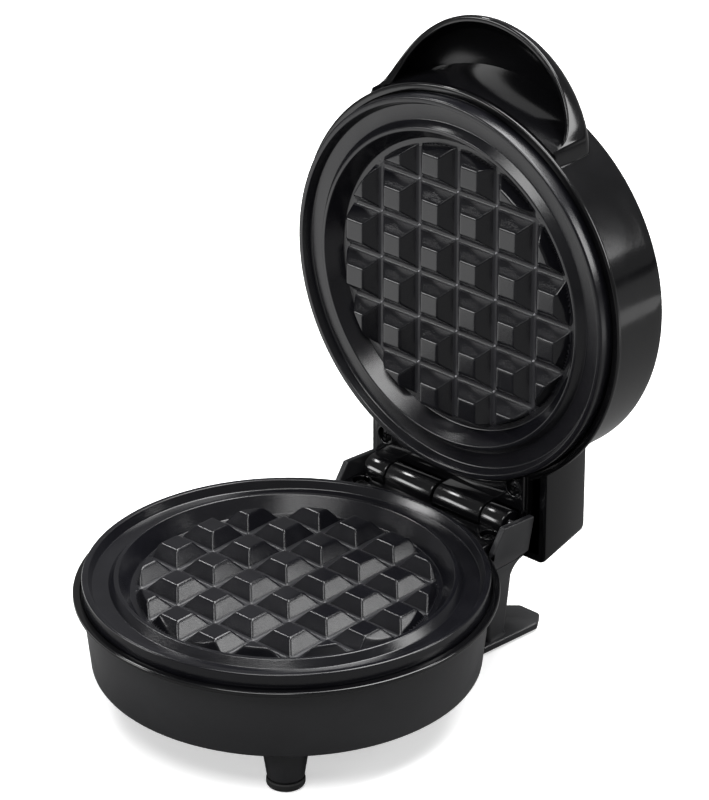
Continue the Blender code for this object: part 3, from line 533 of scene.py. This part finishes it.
def valley_studs(radius=0.00042, tall=0.00095, rings=9, steps=20):
    """A small dome (r cos a cos b, r sin a cos b, h sin b) at every crossing of two valleys."""
    around = np.arange(steps) * math.tau / steps
    up = np.linspace(math.pi / 2, 0.0, rings)[:, None]
    dome = np.stack([radius * np.cos(up) * np.cos(around), radius * np.cos(up) * np.sin(around),
                     tall * np.sin(up) + floor_level - 0.0003 + 0.0 * around], axis=-1)
    line = (np.arange(blocks_across - 1) - (blocks_across - 2) / 2) * pitch
    x, y = (part.reshape(-1) for part in np.meshgrid(line, line))
    inside = np.hypot(x, y) < grid_radius - 0.002
    spots = np.column_stack([x[inside], y[inside], 0.0 * x[inside]])
    points = dome[None] + spots[:, None, None, :]
    faces = grid_faces(rings, steps, False, True)
    shift = (np.arange(len(spots)) * rings * steps)[:, None, None]
    return points.reshape(-1, 3), (faces[None] + shift).reshape(-1, 4)


def paint_valley_sheen(thing, depth_of):
    """Give the faces that lie low in the valleys the paler colour, a painted sheen for the light they
    reflect.
    """
    centres = np.array([polygon.center[:] for polygon in thing.data.polygons])
    low = depth_of(centres) < floor_level + 0.00042
    thing.data.materials.append(valley_sheen_coat)
    thing.data.polygons.foreach_set("material_index", low.astype(np.int32))


grid_points, grid_quads = bare_points(*waffle_grid())
stud_points, stud_quads = valley_studs()
# Painted sheen: the paler colour of the valley floors stands in for the light they reflect.
valley_sheen_coat = finish("non_stick_painted_valley_sheen", (0.019, 0.019, 0.022), (0.026, 0.026, 0.030), (0.30, 0.42),
                   (2600.0, 0.8), (200.0, 0.6), 0.00004, dust=0.02)
# Painted highlight: the studs are coloured pale so that every valley crossing shows a bright dot.
stud_highlight = finish("painted_highlight_stud", (0.30, 0.30, 0.32), (0.40, 0.40, 0.42), (0.22, 0.34), (2600.0, 0.4),
                  (200.0, 0.6), 0.00003, dust=0.0)
turned_piece("lower_plate", plate_profile, on_base, "base", non_stick, ["lower_cooking_plate"],
             closed=False)
lower_grid = piece("lower_plate_grid", on_base(grid_points), grid_quads, "base", non_stick,
                   ["lower_cooking_plate"], sharp=60.0)
paint_valley_sheen(lower_grid, lambda points: points[:, 2] - rim_z)
piece("lower_plate_studs", on_base(stud_points), stud_quads, "base", stud_highlight,
      ["lower_cooking_plate"], sharp=60.0)

upper_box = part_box("upper_cooking_plate")
lid_plane = upper_box[0].y + plate_proud
lid_axis_z = (upper_box[0].z + upper_box[1].z) / 2


def on_lid(points):
    """Lid pieces are drawn closed, about the middle of the lid's rim plane, and turned back.

    (x, y, z) becomes (x, plane + z, axis - y): a quarter turn about the hinge.
    """
    return np.stack([points[..., 0], lid_plane + points[..., 2], lid_axis_z - points[..., 1]], axis=-1)


def facing_down(points):
    """Half a turn about y, for lid pieces drawn with their open side up."""
    return on_lid(points * np.array([-1.0, 1.0, -1.0]))


turned_piece("upper_plate", plate_profile, facing_down, "lid", non_stick,
             ["upper_cooking_plate"], closed=False)
upper_grid = piece("upper_plate_grid", facing_down(grid_points), grid_quads, "lid", non_stick,
                   ["upper_cooking_plate"], sharp=60.0)
paint_valley_sheen(upper_grid, lambda points: lid_plane - points[:, 1])
piece("upper_plate_studs", facing_down(stud_points), stud_quads, "lid", stud_highlight,
      ["upper_cooking_plate"], sharp=60.0)

# ---------------------------------------------------------------- lid frame
# The lid's ring matches the base ring.  Its bracket closes the mouth of the heel, and carries two
# screws in wells, and a barrel and a lug that fall between those of the base.
turned_piece("lid_rim", ring_profile, facing_down, "lid", gloss_black, ["lid_frame"])
lid_side_up = lid_plane - hinge[1]


def lid_side(points):
    return facing_down(across(points))


lid_bracket_back, lid_bracket_foot, lid_screw_back = 0.0806, -0.0043, 0.0607
trough_front, trough_back, trough_floor = 0.0679, 0.0751, 0.00085
slab_piece("lid_bracket_floor", bracket_outline(lid_bracket_back, [], 0.0), lid_bracket_foot, trough_floor,
           facing_down, "lid", gloss_black, ["lid_frame"])
lid_bracket = slab_piece("lid_bracket", bracket_outline(lid_bracket_back, barrel_notches, trough_front),
                         0.0002, bracket_top, facing_down, "lid", gloss_black, ["lid_frame"])
for side, sign in (("left", 1), ("right", -1)):
    well = np.array([sign * screw_out, lid_screw_back, bracket_top])
    bore(lid_bracket, facing_down(well), (0, -1, 0), well_radius, well_depth)
    turned_piece(f"lid_well_rim_{side}", roll_profile, lambda points: facing_down(points + well), "lid",
                 gloss_black, ["lid_frame"], steps=64)
for side, (right, left) in zip(("left", "right"), barrel_notches):
    strip = soft_corners([(left, trough_back), (right, trough_back), (right, lid_bracket_back),
                          (left, lid_bracket_back)], 0.0003, steps=2)
    slab_piece(f"lid_bracket_strip_{side}", strip, 0.0002, bracket_top, facing_down, "lid", gloss_black,
               ["lid_frame"])
lid_knuckle = knuckle_outline(lid_side_up, barrel_radius, 0.0006)
slab_piece("lid_barrel", lid_knuckle, -inner_span[1], -inner_span[0], lid_side, "lid", gloss_black,
           ["lid_frame"], edge=0.0005)
slab_piece("lid_lug", lid_knuckle, outer_span[0], outer_span[1], lid_side, "lid", gloss_black,
           ["lid_frame"], edge=0.0005)
heel_half, heel_back, heel_back_top, heel_mouth = 0.0372, 0.0870, 0.0819, 0.0023
flap_half, flap_front, flap_back = heel_half - wall - clearance, 0.0520, heel_back - wall - clearance
flap_outline = soft_corners([(-flap_half, flap_front), (flap_half, flap_front), (flap_half, flap_back),
                             (-flap_half, flap_back)], 0.0010)
slab_piece("lid_heel_plate", flap_outline, lid_bracket_foot, -heel_mouth, facing_down, "lid", gloss_black,
           ["lid_frame"], edge=0.0003)

# ------------------------------------------------------------ lid and handle
# The lid is one polished black moulding.  Its drum bulges in front into a domed handle: the
# handle's free edge arches up from the rim and leaves a pocket under it for the fingers.
lid_gloss = finish("polished_black_lid", (0.0026, 0.0026, 0.0031), (0.0036, 0.0036, 0.0043), (0.09, 0.14),
                   (1400.0, 0.10), (45.0, 1.0), 0.00005)
lid_top, lid_start = 0.0252, flange + clearance
hood_centre, hood_radius, hood_wall = 0.0460, 0.0387, 0.0022
bend_reach, bend_height = 0.0210, 0.0091
arch_rise, arch_half, arch_power = 0.0152, 0.0374, 4.1
handle_turn = 0.72


def circle_ahead(angle, centre, radius):
    """Distance from the drum axis to the far side of a circle centred ahead of it.

    With a the angle from straight ahead: c cos a + sqrt(r^2 - c^2 sin^2 a), or 0 where it misses.
    """
    room = radius ** 2 - (centre * np.sin(angle)) ** 2
    hit = (room > 0) & (np.cos(angle) > 0)
    return np.where(hit, centre * np.cos(angle) + np.sqrt(np.maximum(room, 0.0)), 0.0)


def soft_most(first, second, softness):
    """The greater of two lengths, with a fillet where they meet."""
    return 0.5 * (first + second + np.sqrt((first - second) ** 2 + softness ** 2))


def arc_points(radius_from, radius_to, height_from, height_to, steps, turn_in):
    """Quarter ellipse between two points of the section, as steps pairs of radius and height."""
    share = np.linspace(0.0, math.pi / 2, steps)[None, :]
    across_share = np.sin(share) if turn_in else 1 - np.cos(share)
    up_share = 1 - np.cos(share) if turn_in else np.sin(share)
    radius = radius_from[:, None] + (radius_to - radius_from)[:, None] * across_share
    height = height_from[:, None] + (height_to - height_from)[:, None] * up_share
    return np.stack([radius, height], axis=-1)


def dome_height(radius, ahead, inset):
    """Height of the handle's bent top at a point, inset from the outer skin.

    With q the distance from the handle's centre, m where the bend starts and r, b its reach and
    height: (top - b) + (b - inset) sqrt(1 - ((q - m) / (r - inset))^2).
    """
    out = np.sqrt(radius ** 2 + hood_centre ** 2 - 2 * radius * hood_centre * np.cos(ahead))
    bent = np.clip((out - (hood_radius - bend_reach)) / (bend_reach - inset), 0.0, 1.0)
    return lid_top - bend_height + (bend_height - inset) * np.sqrt(1 - bent ** 2)


def lid_section_angles():
    """Angles about the drum axis, closer together within handle_turn of straight ahead."""
    handle = np.linspace(-handle_turn, handle_turn, 400)
    drum = np.linspace(handle_turn, math.tau - handle_turn, 260)[1:-1]
    return np.concatenate([handle, drum])


def lid_sections(ahead):
    """The lid's skin: at each angle a section in radius and height, from the top's middle to the inside.

    It runs out over the top, round its edge, down to where the handle's dome leaves the wall, out along
    the dome, round the free edge, back under the dome to the grip wall, down to the rim and up inside.
    The free edge is at rise * (1 - (x / half)^p)^(1 / p).  Away from the handle the pocket's points
    close up on the rim.
    """
    bulge = circle_ahead(ahead, hood_centre, hood_radius)
    outer_low = np.minimum(soft_most(bulge, np.full_like(ahead, wall_top), 0.0006), bulge.max())
    beside = np.abs(np.sin(ahead)) * outer_low
    share = np.clip(1 - (beside / arch_half) ** arch_power, 0.0, None)
    edge_height = np.where(np.cos(ahead) > 0.7, arch_rise * share ** (1 / arch_power), 0.0)
    edge_height = np.maximum(edge_height, lid_start)
    grip = np.minimum(rim_radius, outer_low - 0.0004)
    inner_wall = np.maximum(circle_ahead(ahead, hood_centre, hood_radius - hood_wall), grip)
    opening = np.clip((inner_wall - grip) / 0.0015, 0.0, 1.0)
    opening = opening * opening * (3 - 2 * opening)
    open_edge = np.clip((edge_height - lid_start) / 0.0008, 0.0, 1.0)
    bulging = np.clip((outer_low - wall_top) / 0.0006, 0.0, 1.0)
    full = np.ones_like(ahead)
    top_round, edge_round = 0.0010, 0.0007
    bend_from = full * (lid_top - bend_height)
    meeting = dome_height(full * wall_back, ahead, 0.0)
    meeting = bend_from + (meeting - bend_from) * bulging
    corner = np.minimum(top_round, (lid_top - meeting) * 0.8)
    parts = [np.stack([full * 0.0, full * lid_top], axis=-1)[:, None]]
    for share_out in (0.25, 0.5, 0.75, 0.9):
        parts.append(np.stack([full * (wall_back - top_round) * share_out, full * lid_top], axis=-1)[:, None])
    parts.append(arc_points(full * (wall_back - top_round), full * wall_back, full * lid_top,
                            lid_top - corner, 7, True))
    wall_meeting = wall_back + (wall_top - wall_back) * (lid_top - meeting) / (lid_top - lid_start)
    for share_down in (0.35, 0.7, 1.0):
        radius = wall_back + (wall_meeting - wall_back) * share_down
        height = (lid_top - corner) * (1 - share_down) + meeting * share_down
        parts.append(np.stack([radius, height], axis=-1)[:, None])
    low = edge_height + edge_round
    for share_out in np.linspace(0.0, 1.0, 15)[1:]:
        radius = wall_meeting + (outer_low - wall_meeting) * math.sin(share_out * math.pi / 2)
        bent = dome_height(radius, ahead, 0.0)
        straight = meeting + (low - meeting) * share_out
        radius_straight = wall_meeting + (outer_low - wall_meeting) * share_out
        height = np.maximum(straight + (bent - straight) * bulging, low)
        radius = radius_straight + (radius - radius_straight) * bulging
        parts.append(np.stack([radius, height], axis=-1)[:, None])
    thick = np.minimum(inner_wall - outer_low, 0.0)
    round_out = np.minimum(edge_round, -thick * 0.45)
    parts.append(arc_points(outer_low, outer_low - round_out, low, edge_height, 6, False))
    parts.append(arc_points(outer_low + thick + round_out, outer_low + thick, edge_height,
                            edge_height + edge_round * open_edge, 6, True))
    for share_in in np.linspace(0.0, 1.0, 13):
        radius = grip + (inner_wall - grip) * math.cos(share_in * math.pi / 2)
        ceiling = dome_height(radius, ahead, hood_wall)
        parts.append(np.stack([radius, edge_height + (ceiling - edge_height) * opening], axis=-1)[:, None])
    ceiling = edge_height + (dome_height(grip, ahead, hood_wall) - edge_height) * opening
    parts.append(np.stack([grip, (ceiling + lid_start) / 2], axis=-1)[:, None])
    parts.append(np.stack([grip, full * lid_start], axis=-1)[:, None])
    parts.append(np.stack([full * (wall_top - wall), full * lid_start], axis=-1)[:, None])
    parts.append(np.stack([full * (wall_back - wall), full * (lid_top - wall)], axis=-1)[:, None])
    parts.append(np.stack([full * 0.0, full * (lid_top - wall)], axis=-1)[:, None])
    return np.concatenate(parts, axis=1)


lid_angles = lid_section_angles()
lid_skin = lid_sections(lid_angles)
turn = (lid_angles - math.pi / 2)[:, None]
lid_out, lid_up = lid_skin[..., 0], lid_skin[..., 1]
lid_points = np.stack([lid_out * np.cos(turn), lid_out * np.sin(turn), lid_up], axis=-1).transpose(1, 0, 2)
piece("lid_and_handle", on_lid(lid_points), grid_faces(lid_points.shape[0], lid_points.shape[1], False, True),
      "lid", lid_gloss, ["lid_shell"], sharp=38.0)

# -------------------------------------------------------------- lid heel box
# Behind the drum the lid runs on as a box over the hinge.  It is part of the lid's moulding, with
# a leaning back and rounded edges, and its top lies a little below the lid's flat top.
heel_top, heel_front, heel_corner = lid_top - 0.0030, 0.0495, 0.0028
# Each level is a height and how far the outline is drawn in there, to round the two edges.
heel_levels = [(heel_top, 0.0016), (heel_top - 0.0003, 0.0008), (heel_top - 0.0008, 0.0003),
               (heel_top - 0.0016, 0.0), (0.5 * (heel_top + heel_mouth), 0.0), (heel_mouth + 0.0007, 0.0),
               (heel_mouth + 0.0002, 0.0002), (heel_mouth, 0.0007)]


def rounded_loop(half, front, back, corner, count=10):
    """Rounded rectangle in plan, as a closed outline turning left."""
    return soft_corners([(-half, front), (half, front), (half, back), (-half, back)], corner, steps=count)


heel_loops = []
for level, inset in heel_levels:
    leaning = heel_back + (heel_back_top - heel_back) * (level - heel_mouth) / (heel_top - heel_mouth)
    loop = rounded_loop(heel_half - inset, heel_front, leaning - inset, heel_corner)
    heel_loops.append(np.column_stack([loop, np.full(len(loop), level)]))
heel_points = np.stack(heel_loops)
heel_count = heel_points.shape[1]
heel_foot = list(range((len(heel_levels) - 1) * heel_count, len(heel_levels) * heel_count))[::-1]
piece("lid_heel", on_lid(heel_points), grid_faces(len(heel_levels), heel_count, False, True), "lid",
      lid_gloss, ["lid_shell"], caps=(list(range(heel_count)), heel_foot))

# ------------------------------------------------------------ indicator lamps
# Two small domed lenses are pressed into the lid's top, red for power and green for ready.


def lens_finish(name, colour, deep):
    """Tinted clear plastic: the colour deepens in slow clouds, under a polished face."""
    return finish(name, colour, deep, (0.05, 0.09), (900.0, 0.1), (120.0, 0.5), 0.00002, dust=0.0)


lens_looks = {"power": ("red_lens", lens_finish("red_lens", (0.36, 0.012, 0.008), (0.25, 0.006, 0.004))),
              "ready": ("green_lens", lens_finish("green_lens", (0.012, 0.20, 0.035), (0.006, 0.13, 0.02)))}
lens_profile = soft_corners([(0.0, 0.0257), (0.0024, 0.0256), (0.0030, 0.0250), (0.0030, 0.0207),
                             (0.0, 0.0207)], (0, 0.0009, 0.0004, 0.0003, 0), closed=False)
for lamp_name, (lens_slot, lens_look) in lens_looks.items():
    lens_low, lens_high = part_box(lamp_name + "_lamp_lens")
    lens_spot = np.array([(lens_low.x + lens_high.x) / 2, lid_axis_z - (lens_low.z + lens_high.z) / 2, 0.0])
    turned_piece(lamp_name + "_lens", lens_profile, lambda points: on_lid(points + lens_spot), "lid",
                 lens_look, [lamp_name + "_lamp_lens"], closed=False, steps=48)
    lamp_mesh = frame["nodes"][lamp_name + "_lamp"].data
    lamp_mesh.materials.clear()
    lamp_mesh.materials.append(lens_look)

# --------------------------------------------------------------------- legs
# Two tapered legs of the same black plastic carry the front of the base.  Each ends in a rubber
# foot with a rolled edge, a little wider than the leg, pushed up against a shoulder.
soft_rubber = finish("soft_rubber", (0.0085, 0.0085, 0.0090), (0.013, 0.013, 0.013), (0.55, 0.72),
                     (2600.0, 1.0), (150.0, 0.4), 0.00006, dust=0.08)
leg_waist = 0.0057
for side in ("left", "right"):
    leg_low, leg_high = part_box(f"front_{side}_leg")
    middle = np.array([(leg_low.x + leg_high.x) / 2, (leg_low.y + leg_high.y) / 2, 0.0])
    top_radius = (leg_high.x - leg_low.x) / 2
    leg_corners = [(0.0, leg_high.z), (top_radius, leg_high.z), (leg_waist + 0.0001, leg_low.z + 0.0006),
                   (leg_waist - 0.0003, leg_low.z), (0.0, leg_low.z)]
    leg_profile = soft_corners(leg_corners, (0, 0.0003, 0.0006, 0.0003, 0), closed=False)
    turned_piece(f"{side}_leg", leg_profile, lambda points: points + middle, "base", satin_black,
                 [f"front_{side}_leg"], closed=False, steps=72)
    foot_low, foot_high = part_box(f"front_{side}_foot")
    foot_radius = (foot_high.x - foot_low.x) / 2
    foot_profile = soft_corners([(0.0, foot_high.z), (foot_radius, foot_high.z), (foot_radius, 0.0),
                                 (0.0, 0.0)], (0, 0.0005, 0.0023, 0), closed=False, steps=10)
    turned_piece(f"{side}_rubber_foot", foot_profile, lambda points: points + middle, "base", soft_rubber,
                 [f"front_{side}_foot"], closed=False, steps=72)

# --------------------------------------------------------------- rear stand
# Behind the drum the base comes down in one broad hollow leg on a foot plate.  The plate's two
# horns keep the cord on the leg when it is wound up, and rubber pads under them take the load.
stand_low, stand_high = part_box("rear_stand")
plate_thick = 0.0024
# Each level is its drop below the top, then the leg's half width, front and back there: a fillet
# under the hinge block, straight leaning walls, and a flare onto the plate.
stand_levels = [(0.0, 0.0344, 0.0556, 0.0735), (0.0007, 0.0343, 0.0557, 0.0714),
                (0.0018, 0.0342, 0.0558, 0.0699), (0.0032, 0.0340, 0.0560, 0.0688),
                (0.0052, 0.0336, 0.0563, 0.0682), (0.0290, 0.0281, 0.0630, 0.0719),
                (0.0306, 0.0283, 0.0632, 0.0726), (0.0312, 0.0290, 0.0625, 0.0734)]
stand_loops = [rounded_loop(half, front, back, 0.0016) for drop, half, front, back in stand_levels]
stand_heights = [stand_high.z + 0.0003 - drop for drop, half, front, back in stand_levels]
stand_points = np.stack([np.column_stack([loop, np.full(len(loop), height - rim_z)])
                         for loop, height in zip(stand_loops, stand_heights)])
stand_count = stand_points.shape[1]
stand_foot = list(range((len(stand_levels) - 1) * stand_count, len(stand_levels) * stand_count))[::-1]
piece("stand_leg", on_base(stand_points), grid_faces(len(stand_levels), stand_count, False, True), "base",
      satin_black, ["rear_stand"], caps=(list(range(stand_count)), stand_foot))
half_plate = np.array([(0.0290, 0.0580), (0.0310, 0.0840), (0.0275, 0.0893), (0.0193, 0.0893),
                       (0.0158, 0.0861), (0.0120, 0.0800)])
whole_plate = np.vstack([half_plate, (half_plate * [-1, 1])[::-1]])
plate_outline = soft_corners(whole_plate, 0.0014, steps=6)
slab_piece("stand_plate", plate_outline, stand_low.z - rim_z, stand_low.z + plate_thick - rim_z, on_base,
           "base", satin_black, ["rear_stand"], edge=0.0005)
for side in ("left", "right"):
    pad_low, pad_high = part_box(f"rear_{side}_foot")
    pad_middle = np.array([(pad_low.x + pad_high.x) / 2, (pad_low.y + pad_high.y) / 2, 0.0])
    pad_radius = (pad_high.x - pad_low.x) / 2
    pad_profile = soft_corners([(0.0, pad_high.z), (pad_radius, pad_high.z), (pad_radius, 0.0), (0.0, 0.0)],
                               (0, 0.0001, 0.0003, 0), closed=False)
    turned_piece(f"{side}_rear_pad", pad_profile, lambda points: points + pad_middle, "base", soft_rubber,
                 [f"rear_{side}_foot"], closed=False, steps=48)

# --------------------------------------------------------------- cord inlet
# A rubber bush with a rolled collar lines the hole in the stand's back wall where the cord enters.
gland_low, gland_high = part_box("cord_gland")
gland_spot = np.array([0.0, gland_high.y, (gland_low.z + gland_high.z) / 2])
gland_corners = [(0.0060, 0.0), (0.0060, -0.0016), (0.0044, -0.0016), (0.0044, -0.0060),
                 (0.0026, -0.0060), (0.0026, 0.0)]
gland_profile = soft_corners(gland_corners, (0.0006, 0.0004, 0.0003, 0.0002, 0.0002, 0.0006))


def gland_place(points):
    """Turn the bush so that its height points back: (x, y, z) becomes (y, z, x)."""
    return points[..., [1, 2, 0]] + gland_spot


turned_piece("cord_inlet", gland_profile, gland_place, "base", soft_rubber, ["cord_gland"],
             steps=64)

# ------------------------------------------------------------------- screws
# Blackened pan-head screws with a cross recess.  Four hold the two frames down, sunk in round
# wells, and three hold the bottom cover.
black_steel = finish("black_steel", (0.030, 0.030, 0.032), (0.055, 0.055, 0.055), (0.28, 0.42), (2200.0, 0.7),
                     (160.0, 0.5), 0.00004, metallic=0.8)


def screw_head(radius, tall):
    """Domed head as a polar net: height h (1 - 0.8 (r / R)^4), cut down where |x| or |y| is small."""
    share = np.concatenate([np.linspace(0.0, 0.62, 22), np.linspace(0.66, 1.0, 9)])
    angle = np.arange(96) * math.tau / 96
    x = radius * share[:, None] * np.cos(angle)
    y = radius * share[:, None] * np.sin(angle)
    narrow = np.minimum(np.abs(x), np.abs(y))
    cross = np.clip((0.13 * radius - narrow) / (0.03 * radius), 0, 1) * (share[:, None] < 0.6)
    height = tall * (1 - 0.8 * share[:, None] ** 4) - cross * tall * 0.9
    skirt = np.stack([x[-1], y[-1], np.zeros(96)], axis=-1)[None]
    return np.vstack([np.stack([x, y, height], axis=-1), skirt])


head_radius, head_height, head_sunk = 0.0024, 0.0013, 0.0008


def on_lid_face(points):
    """Turn a head to face forward, out of the open lid: (x, y, z) becomes (x, -z, y)."""
    return np.stack([points[..., 0], -points[..., 2], points[..., 1]], axis=-1)


def put_screw(name, node, place_head, body):
    points = screw_head(head_radius, head_height)
    faces = grid_faces(points.shape[0], points.shape[1], False, True)
    piece(name, place_head(points), faces, body, black_steel, [node], sharp=45.0)


for side in ("left", "right"):
    low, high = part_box(f"base_frame_screw_{side}")
    spot = np.array([(low.x + high.x) / 2, (low.y + high.y) / 2, high.z - head_height - head_sunk])
    put_screw(f"base_screw_{side}", f"base_frame_screw_{side}", lambda points: points + spot, "base")
    low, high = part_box(f"lid_frame_screw_{side}")
    lid_spot = np.array([(low.x + high.x) / 2, low.y + head_height + head_sunk, (low.z + high.z) / 2])
    put_screw(f"lid_screw_{side}", f"lid_frame_screw_{side}", lambda points: on_lid_face(points) + lid_spot,
              "lid")
for index in (1, 2, 3):
    low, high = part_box(f"bottom_cover_screw_{index}")
    under = np.array([(low.x + high.x) / 2, (low.y + high.y) / 2, low.z + head_height])
    put_screw(f"cover_screw_{index}", f"bottom_cover_screw_{index}",
              lambda points: points * np.array([1.0, -1.0, -1.0]) + under, "base")

# ------------------------------------------------------- covers and inner parts
# The bottom cover is moulded in the same black plastic.  Inside are steel-sheathed heating tubes,
# bright pressed reflectors, ceramic thermostats and a little wiring, each with its own finish.
heater_steel = finish("heater_sheath", (0.30, 0.27, 0.22), (0.16, 0.15, 0.16), (0.35, 0.55), (1500.0, 0.6),
                      (120.0, 0.8), 0.00005, metallic=1.0)
reflector_sheet = finish("reflector_sheet", (0.70, 0.70, 0.70), (0.55, 0.55, 0.56), (0.22, 0.34),
                         (1200.0, 0.3), (60.0, 0.8), 0.00005, metallic=1.0)
ceramic = finish("white_ceramic", (0.72, 0.69, 0.62), (0.60, 0.57, 0.50), (0.5, 0.7), (1800.0, 0.8),
                 (120.0, 0.4), 0.00006)
wire_sleeve = finish("braided_sleeve", (0.62, 0.62, 0.58), (0.50, 0.50, 0.46), (0.6, 0.8), (2800.0, 1.0),
                     (200.0, 0.4), 0.00008)
inner_looks = {"base_bottom_cover": satin_black, "lower_heater": heater_steel, "upper_heater": heater_steel,
               "lower_reflector": reflector_sheet, "upper_reflector": reflector_sheet,
               "lower_thermostat": ceramic, "upper_thermostat": ceramic, "thermal_fuse": ceramic,
               "terminal_block": wire_sleeve, "live_wire": wire_sleeve, "neutral_wire": wire_sleeve}
for node_name, node_look in inner_looks.items():
    node_mesh = frame["nodes"][node_name].data
    node_mesh.materials.clear()
    node_mesh.materials.append(node_look)
